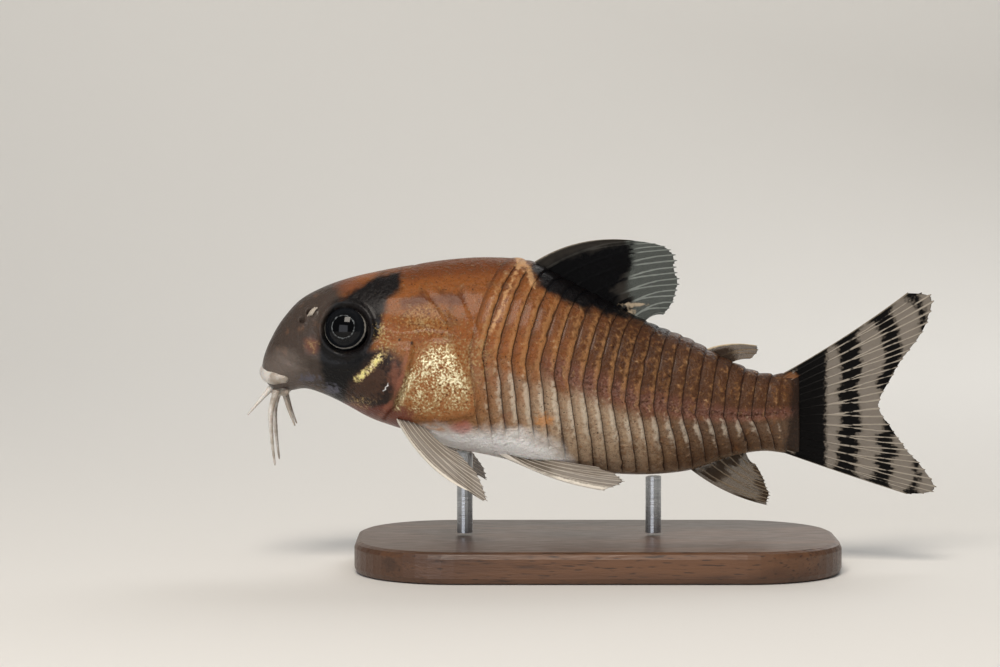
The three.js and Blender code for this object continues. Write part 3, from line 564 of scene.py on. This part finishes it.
# What a fin has where it says nothing else. A ray's width is a share of the rays' spacing, and base, spine,
# membrane and ray are half a thickness: at the root, at the front edge, between the rays and on them
plainFin = {"rayWidth": 0.13, "base": 0.15, "membrane": 0.07, "ray": 0.13, "ragged": 0.02, "joints": 12,
            "slot": "clear_fin", "marks": lambda *given: {}}
sunk = 1.1  # how deep a fin's root lies in the body
finWave = 0.07  # how far a fin's web waves to either side
tailRootX = 19.3
raySteps = draw.uniform(-1, 1, 64)  # how far the markings on one web lie from those on the next


def finPoint(fin, across, along):
    # a point of a fin's middle, which runs from its root line past its bend line to its tip line
    root, bend, tip = (alongCurve(fin[key], across) for key in ("root", "bend", "tip"))
    along = np.asarray(along)[:, None]
    return (root * (1 - along) + bend * along) * (1 - along) + (bend * (1 - along) + tip * along) * along


def rayBands(fin, across, along):
    # 1 on a ray and 0 between rays; towards its tip each ray forks in two
    number = across * (fin["rays"] - 1)
    nearest = np.round(number)
    fork = 0.24 * smooth(0.35, 0.9, along) * (nearest > 0)
    away = np.abs(np.abs(number - nearest) - fork)
    width = fin["rayWidth"] * (1 - 0.4 * along)
    return 1 - smooth(width * 0.4, width, away), nearest


def finLoop(v):
    # round a fin's edge: out across one face and back across the other
    return 1 - np.abs(2 * v - 1), np.where(v < 0.5, 1.0, -1.0)


def finShape(fin):
    # a fin's two faces: thick rays, a thin web between them, a thicker front spine and a ragged tip
    lengths = draw.uniform(-0.5, 0.5, fin["rays"] + 1)

    def shape(u, v):
        across, face = finLoop(v)
        rays, nearest = rayBands(fin, across, u)
        ragged = fin["ragged"] * (rays - 0.6 + lengths[nearest.astype(int)])
        along = u * (1 + ragged * smooth(0.5, 1, u))
        h = 1e-3
        inner = np.clip(across, 2 * h, 1 - 2 * h)
        normal = np.cross(finPoint(fin, inner + h, along) - finPoint(fin, inner - h, along),
                          finPoint(fin, inner, along + h) - finPoint(fin, inner, along - h))
        normal /= np.linalg.norm(normal, axis=1)[:, None] + 1e-9
        spine = fin["spine"] * smooth(0.7 / fin["rays"], 0.2 / fin["rays"], across)
        joints = 1 + 0.12 * np.sin(2 * math.pi * u * fin["joints"]) * rays
        half = fin["membrane"] + (fin["ray"] - fin["membrane"]) * rays * joints + spine
        half = half + fin["base"] * (1 - smooth(0, 0.3, u))
        rim = np.minimum(np.minimum(across, 1 - across) * 26, np.minimum(u, 1 - u) * 45)
        half = half * (1 - 0.72 * u ** 1.5) * np.sqrt(np.clip(rim, 0, 1))
        wave = finWave * np.sin(across * 21 + 3 * u) * smooth(0.3, 1, u)
        return finPoint(fin, across, along) + normal * (face * half + wave)[:, None]
    return shape


def finMarks(fin):
    def marks(points, u, v):
        across, face = finLoop(v)
        rays, nearest = rayBands(fin, across, u)
        step = raySteps[nearest.astype(int) % len(raySteps)]
        given = {"ray": rays, "edge": 1 - across * fin["rays"],
                 "margin": 1 - np.minimum(across, 1 - across) * fin["rays"], "dark": np.zeros(len(u))}
        given.update(fin["marks"](points, across, u, step, rays))
        return given
    return marks


def flat(points):
    return [(x, 0, z) for x, z in points]


def mirrored(points, side):
    return [(x, -side * y, z) for x, y, z in points]


def backZ(x):
    return float(np.interp(x, placeX, through(sections[:, 1], placeSteps)))


def bellyZ(x):
    return float(np.interp(x, placeX, through(sections[:, 3], placeSteps)))


dorsalBlack = [(-9, 28), (-5.4, 27.9), (-3.5, 29.2), (-1.6, 29.7), (0.8, 30.3), (3.4, 31.0), (3.6, 29.4),
               (2.9, 27.6), (1.9, 26.4), (2.2, 25.3), (3.0, 23.0), (0, 20)]
fins = {
    "dorsal fin": {
        "rays": 9, "spine": 0.1, "membrane": 0.08, "ray": 0.1, "ragged": 0.025, "joints": 16,
        "root": flat([(x, backZ(x) - sunk) for x in (-7.2, -4.2, -1.3, 1.5, 4.0)]),
        "bend": flat([(-2.6, 31.9), (0.2, 30.3), (2.0, 28.0), (3.6, 26.2), (4.9, 24.4)]),
        "tip": flat([(3.4, 31.2), (6.8, 30.5), (7.6, 28.4), (7.6, 26.2), (6.4, 24.1)]),
        "marks": lambda points, across, along, step, rays: {
            "dark": insideBy(dorsalBlack, points[:, 0] - 0.9 * step * (rays < 0.5), points[:, 2]),
            "front": 3.2 - points[:, 0] + 0.3 * step,
            "creamBase": spot(points[:, 0], points[:, 2], 3.6, 25.1, 1.8, 0.22)
            + spot(points[:, 0], points[:, 2], 3.2, 24.4, 0.6, 0.5)},
        "slot": "dark_fin", "instead": ("dorsal_fin",), "grid": (80, 300),
    },
    "adipose fin": {
        "rays": 3, "rayWidth": 0.1, "base": 0.05, "spine": 0.12, "membrane": 0.06, "ray": 0.1, "joints": 6,
        "root": flat([(x, backZ(x) - sunk) for x in (9.4, 10.8, 12.0)]),
        "bend": flat([(11.8, 21.8), (12.6, 20.9), (13.0, 20.0)]),
        "tip": flat([(15.2, 21.2), (15.3, 20.6), (14.6, 19.9)]),
        "marks": lambda points, across, along, step, rays: {
            "dark": smooth(0.85, 0.3, along) * smooth(0.1, 0.3, across)},
        "instead": ("adipose_fin",), "grid": (30, 60),
    },
    "anal fin": {
        "rays": 7, "rayWidth": 0.12, "spine": 0.06, "membrane": 0.06, "ray": 0.12, "ragged": 0.025,
        "root": flat([(x, bellyZ(x) + sunk) for x in (7.9, 9.9, 12.0, 14.0)]),
        "bend": flat([(11.6, 6.9), (12.8, 8.0), (13.6, 9.1), (14.3, 10.0)]),
        "tip": flat([(16.3, 5.9), (16.5, 7.0), (15.9, 8.5), (15.1, 9.9)]),
        "marks": lambda points, across, along, step, rays: {
            "dark": 0.9 * np.sin(along * 9 + step * 2) * (rays < 0.5) - 0.45},
        "instead": ("anal_fin",), "grid": (60, 220),
    },
}


def tailBands(points, across, along, step, rays):
    # black bars across the tail fin: solid at the root, then rows of spots between the pale rays
    x, bars = points[:, 0], np.full(len(along), -1.0)
    outer = np.abs(across - 0.5) * 2
    for number, (middle, half) in enumerate(((20.3, 1.45), (24.1, 0.85), (27.9, 0.95), (31.0, 0.7))):
        shift = (0.36 * step + 0.8 * smooth(0.55, 1, outer) * (number > 0)) * (number > 0)
        bar = half - np.abs(x - middle + shift * min(number, 2) * 0.7)
        bar -= (0.9 * smooth(0.25, 0.8, rays) + 0.25 * max(number - 1, 0)) * (number > 0)
        bars = np.maximum(bars, bar)
    edge = (0.06 - np.minimum(across, 1 - across)) * 9 - 0.35 + 0.4 * np.sin(x * 2.1 + 1)
    return {"dark": np.maximum(bars, edge), "amberRoot": spot(x, points[:, 2], 18.4, 18.3, 0.9, 0.5)
            + spot(x, points[:, 2], 18.2, 15.0, 0.8, 0.5)}


fins["tail fin"] = {
    "rays": 16, "rayWidth": 0.11, "base": 0.45, "spine": 0.1, "ray": 0.14, "ragged": 0.014, "joints": 22,
    "root": flat([(tailRootX - 2.2, 18.2), (tailRootX - 0.9, 16.9), (tailRootX - 0.8, 14.8),
                  (tailRootX - 0.9, 12.6), (tailRootX - 2.2, 11.2)]),
    "bend": flat([(23.4, 21.6), (23.8, 19.0), (23.0, 15.1), (23.6, 11.2), (23.2, 9.0)]),
    "tip": flat([(29.6, 26.3), (32.0, 25.8), (31.2, 22.9), (29.4, 20.3), (28.0, 18.0), (26.9, 15.6),
                 (28.1, 13.3), (29.4, 11.5), (31.0, 9.7), (32.3, 7.4), (29.8, 6.9)]),
    "marks": tailBands, "slot": "banded_fin", "instead": ("caudal_fin_upper", "caudal_fin_lower"),
    "grid": (120, 520),
}
sides = {"left": -1, "right": 1}
for hand, side in sides.items():
    fins[f"pectoral fin {hand}"] = {
        "rays": 8, "rayWidth": 0.16, "base": 0.2, "spine": 0.2,
        "root": mirrored([(-19.0, -3.9, 14.5), (-17.8, -4.1, 14.3), (-16.6, -4.1, 14.0)], side),
        "bend": mirrored([(-16.6, -7.2, 10.3), (-15.0, -6.8, 11.1), (-14.6, -6.0, 12.0)], side),
        "tip": mirrored([(-12.3, -9.4, 8.4), (-10.5, -8.8, 7.4), (-11.4, -7.2, 9.6), (-13.2, -6.2, 11.6)],
                        side),
        "instead": (f"pectoral_fin_{hand}",), "grid": (70, 260),
    }
    fins[f"pelvic fin {hand}"] = {
        "rays": 6, "spine": 0.08,
        "root": mirrored([(-9.3, -3.9, 11.4), (-8.6, -3.2, 11.2), (-7.9, -2.4, 11.0)], side),
        "bend": mirrored([(-4.8, -5.9, 8.75), (-3.8, -5.5, 9.6), (-3.2, -5.0, 10.6)], side),
        "tip": mirrored([(0.5, -6.3, 8.0), (2.3, -5.9, 8.75), (1.4, -5.4, 9.5), (0.0, -4.9, 10.0)], side),
        "marks": lambda points, across, along, step, rays: {
            "dark": (1 - rays) * smooth(0.8, 0.15, along) + 0.2 * step},
        "instead": (f"pelvic_fin_{hand}",), "grid": (60, 200),
    }

# The pale flap of skin behind each front nostril, and how far each of its lines stands out of the skin
flap = {"root": [(-27.5, 23.95), (-27.2, 24.15), (-26.9, 24.25)],
        "bend": [(-27.35, 24.3), (-27.0, 24.5), (-26.7, 24.6)],
        "tip": [(-27.05, 24.75), (-26.7, 25.0), (-26.35, 25.0)]}
flapOut = {"root": -0.15, "bend": 0.3, "tip": 0.34}
for hand, side in sides.items():
    fins[f"nostril flap {hand}"] = {
        "rays": 3, "rayWidth": 0.1, "base": 0, "spine": 0.03, "membrane": 0.06, "ray": 0.07, "joints": 2,
        "slot": "barbel_flesh", "instead": (), "grid": (16, 40),
        **{key: [(x, side * (halfWidth(x, z) + flapOut[key]), z) for x, z in line]
           for key, line in flap.items()},
    }

# Each fin's looks: the clear membrane's colour, the rays', how solid it is, and markings over them
finLooks = {
    "dorsal fin": ("clear fin web with black pigment", "#434844", "#868b86", 0.8, [
        ("#2a2521", "front", -0.4, 0.6, "patch", 0.5, 0.9),
        ("#030304", "dark", -0.6, 0.3, "patch", 0.6, 0.995),
        ("#8f8676", "edge", 0.78, 0.95, "grain", 0.1, 0.85),
        ("#b9a78e", "creamBase", 0.45, 1.0, "grain", 0.7, 0.8)]),
    "tail fin": ("clear fin web with black bars", "#756b5f", "#a79e90", 0.72, [
        ("#060607", "dark", -0.35, 0.15, "grain", 0.5, 0.99),
        ("#8c8272", "margin", 0.72, 0.95, "grain", 0.1, 0.85),
        ("#7d5232", "amberRoot", 0.35, 0.9, "grain", 0.4, 0.85)]),
    "anal fin": ("clear fin web with brown streaks", "#5f5140", "#7c6d59", 0.7, [
        ("#2c1f14", "dark", -0.3, 0.4, "patch", 0.6, 0.8)]),
    "adipose fin": ("clear fin web behind a pale spine", "#5b4a39", "#8a7860", 0.66, [
        ("#2b2019", "dark", 0.2, 0.9, "grain", 0.4, 0.85),
        ("#d8c7a8", "edge", 0.55, 0.9, "grain", 0.2, 0.9)]),
    "nostril": ("pale nostril flap", "#b9afa2", "#ccc3b7", 0.95, []),
    "other": ("clear cream fin web", "#8a8074", "#bdb4a8", 0.7, [
        ("#e9e1d3", "edge", 0.05, 0.5, "grain", 0.3, 0.9),
        ("#3f3529", "dark", 0.3, 0.85, "patch", 0.7, 0.6)]),
}
finMaterials = {}
for kind, (name, webColour, rayColour, webAlpha, layers) in finLooks.items():
    # fins are wet skin a tenth of a millimetre thick between bony rays, so light passes the web
    material, tree, shader = newMaterial(name)
    fields = noises(tree, {"patch": 0.9, "grain": 0.3})
    rayLayer = [(rayColour, "ray", 0.2, 0.9, "grain", 0.2, 0.85)]
    tree.links.new(layered(tree, linear(webColour), rayLayer + layers, fields), shader.inputs["Base Color"])
    solidLayers = [("#f7f7f7", "ray", 0.2, 0.9, "grain", 0.1, 0.8)]
    solidLayers += [("#fdfdfd",) + layer[1:] for layer in layers]
    solid = layered(tree, (webAlpha,) * 3 + (1,), solidLayers, fields)
    tree.links.new(solid, shader.inputs["Alpha"])
    shader.inputs["Roughness"].default_value = 0.4
    shader.inputs["IOR"].default_value = 1.36
    shader.inputs["Specular IOR Level"].default_value = 0.1
    bump = addNode(tree, "ShaderNodeBump", {"Height": fields["grain"], "Distance": 0.00004, "Strength": 0.6})
    tree.links.new(bump.outputs[0], shader.inputs["Normal"])
    finMaterials[kind] = material

for name, fin in fins.items():
    fin = {**plainFin, **fin}
    piece = sheet(name.replace(" ", "_") + "_web", *fin["grid"], finShape(fin), finMarks(fin), fin["slot"],
                  fin["instead"])
    kind = "nostril" if "nostril" in name else name
    piece.data.materials.append(finMaterials.get(kind, finMaterials["other"]))

# Eyes
print("eyes, lips and barbels")
eyeMaterial, tree, shader = newMaterial("wet dark eye")
# a living eye: a clear wet cornea over a black iris, with thin silver rings round pupil and ball
fields = noises(tree, {"grain": 0.25})
eyeLayers = [
    ("#1b1d21", "radial", 1.0, 1.9, "grain", 0.3, 0.6),
    ("#8f9496", "pupilRing", 0.45, 1.0, "grain", 0.5, 0.75),
    ("#020203", "pupil", 0.4, 0.6, "grain", 0.0, 1.0),
    ("#b9b4aa", "ballRing", 0.35, 1.0, "grain", 0.5, 0.7),
]
tree.links.new(layered(tree, linear("#08090b"), eyeLayers, fields), shader.inputs["Base Color"])
shader.inputs["Roughness"].default_value = 0.06
shader.inputs["Specular IOR Level"].default_value = 0.12
shader.inputs["Coat Weight"].default_value = 0.12
shader.inputs["Coat Roughness"].default_value = 0.02


def tilted(points, side):
    # turns an eye to look a little forward and up
    roll, turn = side * eye["roll"], side * eye["turn"]
    x, y, z = points.T
    y, z = y * math.cos(roll) - z * math.sin(roll), y * math.sin(roll) + z * math.cos(roll)
    x, y = x * math.cos(turn) - y * math.sin(turn), x * math.sin(turn) + y * math.cos(turn)
    return np.stack([x + eye["x"], y + side * eye["side"], z + eye["z"]], 1)


def eyeShape(side):
    def shape(u, v):
        polar, turn = u * math.pi, v * 2 * math.pi
        bulge = 1 + eye["cornea"] * smooth(1.2, 0, polar)
        ball = np.stack([np.sin(polar) * np.cos(turn), side * np.cos(polar) * bulge,
                         np.sin(polar) * np.sin(turn)], 1)
        return tilted(ball * eye["radius"] * np.array([1, eye["flat"], 1]), side)
    return shape


def eyeMarks(points, u, v):
    # the distance from the pupil's middle, which leaves the eye's hidden half out
    radial = np.sin(u * math.pi) * eye["radius"] + 4 * (u > 0.5)
    return {"radial": radial, "pupil": 1 - smooth(0.95, eye["pupil"], radial),
            "pupilRing": bell(radial - eye["pupil"], eye["ringWidth"]),
            "ballRing": bell(radial - eye["ring"], eye["ringWidth"])}


for hand, side in sides.items():
    ball = sheet(f"eyeball_{hand}", 60, 72, eyeShape(side), eyeMarks, "eye", (f"eye_{hand}",))
    ball.data.materials.append(eyeMaterial)

# Lips and barbels
fleshMaterial, tree, shader = newMaterial("soft lip and barbel flesh")
# bare wet flesh without plates, so it is pale, smooth and lets a little light in
fields = noises(tree, {"patch": 0.8, "grain": 0.22})
fleshLayers = [
    ("#d6d1ca", "pale", 0.25, 0.85, "patch", 0.6, 0.9),
    ("#6d5e50", "speckle", 0.6, 0.9, "grain", 1.2, 0.4),
]
tree.links.new(layered(tree, linear("#9c9184"), fleshLayers, fields), shader.inputs["Base Color"])
shader.inputs["Roughness"].default_value = 0.3
shader.inputs["Subsurface Weight"].default_value = 0.35
shader.inputs["Subsurface Radius"].default_value = (0.0012, 0.0007, 0.0005)
bump = addNode(tree, "ShaderNodeBump", {"Height": fields["grain"], "Distance": 0.00005, "Strength": 0.7})
tree.links.new(bump.outputs[0], shader.inputs["Normal"])


def tubeShape(path, radiusAt):
    # a round tube along a curve, its radius read along it
    def shape(u, v):
        here, ahead, behind = (alongCurve(path, np.clip(u + k, 0, 1)) for k in (0, 0.01, -0.01))
        along = ahead - behind
        along /= np.linalg.norm(along, axis=1)[:, None]
        across = np.cross(along, [0.31, 0.92, 0.24])
        across /= np.linalg.norm(across, axis=1)[:, None]
        up = np.cross(along, across)
        turn = v * 2 * math.pi
        radius = radiusAt(u)[:, None]
        return here + (np.cos(turn)[:, None] * across + np.sin(turn)[:, None] * up) * radius
    return shape


def fleshMarks(paleness):
    def marks(points, u, v):
        return {"pale": paleness + 0.6 * smooth(-30.6, -31.5, points[:, 0]),
                "speckle": np.full(len(u), 0.35)}
    return marks


def lipRadius(radius):
    def radiusAt(u):
        full = np.sqrt(np.sin(math.pi * np.clip(u, 0.004, 0.996)))
        return radius * (0.12 + 0.88 * full * (1 + 0.05 * np.sin(u * 40)))
    return radiusAt


def barbelRadius(radius):
    # tapers all along and is round at its tip
    def radiusAt(u):
        tip = np.sqrt(np.clip(1.002 - u, 0, 0.05) / 0.05)
        return radius * (1 - 0.78 * u) * tip * (1 + 0.03 * np.sin(u * 90))
    return radiusAt


lips = {
    "upper": {"path": [(-29.2, -2.5, 18.2), (-30.8, -1.9, 18.3), (-31.35, 0, 18.7), (-30.8, 1.9, 18.3),
                       (-29.2, 2.5, 18.2)], "radius": 0.78, "pale": 0.35},
    "lower": {"path": [(-29.3, -1.9, 16.9), (-30.6, 0, 16.9), (-29.3, 1.9, 16.9)], "radius": 0.5,
              "pale": 0.3},
}
for name, lip in lips.items():
    piece = sheet(f"{name}_lip", 90, 40, tubeShape(lip["path"], lipRadius(lip["radius"])),
                  fleshMarks(lip["pale"]), "barbel_flesh")
    piece.data.materials.append(fleshMaterial)

barbels = {
    "upper": {"path": [(-30.4, -2.1, 17.0), (-30.9, -2.7, 15.0), (-30.8, -2.9, 12.6), (-30.5, -2.9, 10.0)],
              "radius": 0.36},
    "front": {"path": [(-31.0, -1.5, 17.2), (-31.9, -2.2, 16.2), (-33.1, -2.9, 14.8)], "radius": 0.32},
    "lower": {"path": [(-29.8, -1.0, 17.0), (-29.3, -1.1, 15.2), (-28.7, -1.3, 13.6)], "radius": 0.28},
}
barbelPaleness = 0.45
for name, barbel in barbels.items():
    for hand, side in sides.items():
        piece = sheet(f"{name}_barbel_{hand}", 80, 24,
                      tubeShape(mirrored(barbel["path"], side), barbelRadius(barbel["radius"])),
                      fleshMarks(barbelPaleness), "barbel_flesh", (f"barbel_{name}_{hand}",))
        piece.data.materials.append(fleshMaterial)

# Stand
print("stand")
walnut, tree, shader = newMaterial("oiled walnut")
# solid walnut, planed and oiled: grain along the base, dark pores and a soft satin shine
fields = noises(tree, {"board": 4.0, "figure": 1.3, "pore": 0.22}, stretch=(9, 1, 1))
walnutLayers = [
    ("#6d4a30", fields["board"], -0.1, 0.5, "figure", 0.4, 0.8),
    ("#2f1c11", fields["figure"], 0.05, 0.5, "pore", 0.3, 0.7),
    ("#1e120b", fields["pore"], 0.2, 0.45, "board", 0.15, 0.75),
]
tree.links.new(layered(tree, linear("#4d3220"), walnutLayers, fields), shader.inputs["Base Color"])
rough = addNode(tree, "ShaderNodeMapRange",
                {0: fields["pore"], 1: -0.5, 2: 0.5, 3: 0.34, 4: 0.55}).outputs[0]
tree.links.new(rough, shader.inputs["Roughness"])
bump = addNode(tree, "ShaderNodeBump", {"Height": fields["pore"], "Distance": 0.00004, "Strength": 0.6},
               invert=True)
tree.links.new(bump.outputs[0], shader.inputs["Normal"])
shader.inputs["Coat Weight"].default_value = 0.15
shader.inputs["Coat Roughness"].default_value = 0.3

steel, tree, shader = newMaterial("brushed stainless steel")
# drawn rod, brushed round its length: fine rings that spread the shine up and down
fields = noises(tree, {"ring": 0.12, "cloud": 1.5}, stretch=(12, 12, 1))
steelLayers = [("#7f8387", fields["cloud"], -0.1, 0.5, "ring", 0.5, 0.6)]
tree.links.new(layered(tree, linear("#aeb1b4"), steelLayers, fields), shader.inputs["Base Color"])
rough = addNode(tree, "ShaderNodeMapRange",
                {0: fields["ring"], 1: -0.5, 2: 0.5, 3: 0.22, 4: 0.42}).outputs[0]
tree.links.new(rough, shader.inputs["Roughness"])
shader.inputs["Metallic"].default_value = 1.0
bump = addNode(tree, "ShaderNodeBump", {"Height": fields["ring"], "Distance": 0.00001, "Strength": 0.7})
tree.links.new(bump.outputs[0], shader.inputs["Normal"])
for name, material in {"stand_base": walnut, "stand_rod_1": steel, "stand_rod_2": steel}.items():
    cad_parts[name].material_slots[0].material = material

print("camera, floor and light")
studio = {"target": (-9.24, 0, 22.33), "distance": 300, "rise": 3.5, "wide": 95.2, "sensor": 36}
target = Vector(studio["target"]) * mm
rise = math.radians(studio["rise"])
camera = bpy.data.objects.new("camera", bpy.data.cameras.new("camera"))
camera.location = target + Vector((0, -math.cos(rise), math.sin(rise))) * studio["distance"] * mm
camera.rotation_euler = (target - camera.location).to_track_quat("-Z", "Y").to_euler()
camera.data.sensor_width = studio["sensor"]
camera.data.lens = studio["sensor"] * studio["distance"] / studio["wide"]
camera.data.clip_start = 0.01
bpy.context.collection.objects.link(camera)
bpy.context.scene.camera = camera

lamps = {
    "key": {"at": (-60, -260, 330), "size": 150, "power": 1.15, "tint": "#fff6ea"},
    "fill": {"at": (-160, -330, 60), "size": 240, "power": 0.5, "tint": "#f4f6ff"},
    "backdrop": {"at": (0, 500, 620), "size": 500, "power": 1.7, "tint": "#fffaf2", "aim": (0, 1000, 120)},
    "rim": {"at": (160, 260, 260), "size": 220, "power": 0.4, "tint": "#ffffff"},
}
for name, lamp in lamps.items():
    light = bpy.data.lights.new(name, "AREA")
    light.size = lamp["size"] * mm
    light.energy = lamp["power"]
    light.color = linear(lamp["tint"])[:3]
    holder = bpy.data.objects.new(name, light)
    holder.location = Vector(lamp["at"]) * mm
    aim = Vector(lamp.get("aim", studio["target"])) * mm
    holder.rotation_euler = (aim - holder.location).to_track_quat("-Z", "Y").to_euler()
    bpy.context.collection.objects.link(holder)

world = bpy.data.worlds.new("studio")
world.use_nodes = True
world.node_tree.nodes["Background"].inputs[0].default_value = linear("#eceff2")
world.node_tree.nodes["Background"].inputs[1].default_value = 0.24
bpy.context.scene.world = world
bpy.context.scene.view_settings.view_transform = "Standard"

# a paper sweep: level under the stand, then curving up behind so that no horizon shows
sweep = {"half": 1400, "front": -700, "length": 2700, "bendAt": 260, "bend": 500, "rows": 80}
bm = bmesh.new()
bmesh.ops.create_grid(bm, x_segments=1, y_segments=sweep["rows"], size=0.5)
for vert in bm.verts:
    x, run = vert.co.x * 2 * sweep["half"], sweep["front"] + (vert.co.y + 0.5) * sweep["length"]
    turn = min(max((run - sweep["bendAt"]) / sweep["bend"], 0), math.pi / 2)
    beyond = max(run - sweep["bendAt"] - sweep["bend"] * math.pi / 2, 0)
    ahead = min(run, sweep["bendAt"]) + sweep["bend"] * math.sin(turn)
    vert.co = Vector((x, ahead, sweep["bend"] * (1 - math.cos(turn)) + beyond)) * mm
for face in bm.faces:
    face.smooth = True
floor = bpy.data.objects.new("floor", bpy.data.meshes.new("floor"))
bm.to_mesh(floor.data)
bm.free()
bpy.context.collection.objects.link(floor)
floorMaterial, tree, shader = newMaterial("matt paper sweep")
shader.inputs["Base Color"].default_value = linear("#e6e4e0")
shader.inputs["Roughness"].default_value = 0.8
floor.data.materials.append(floorMaterial)
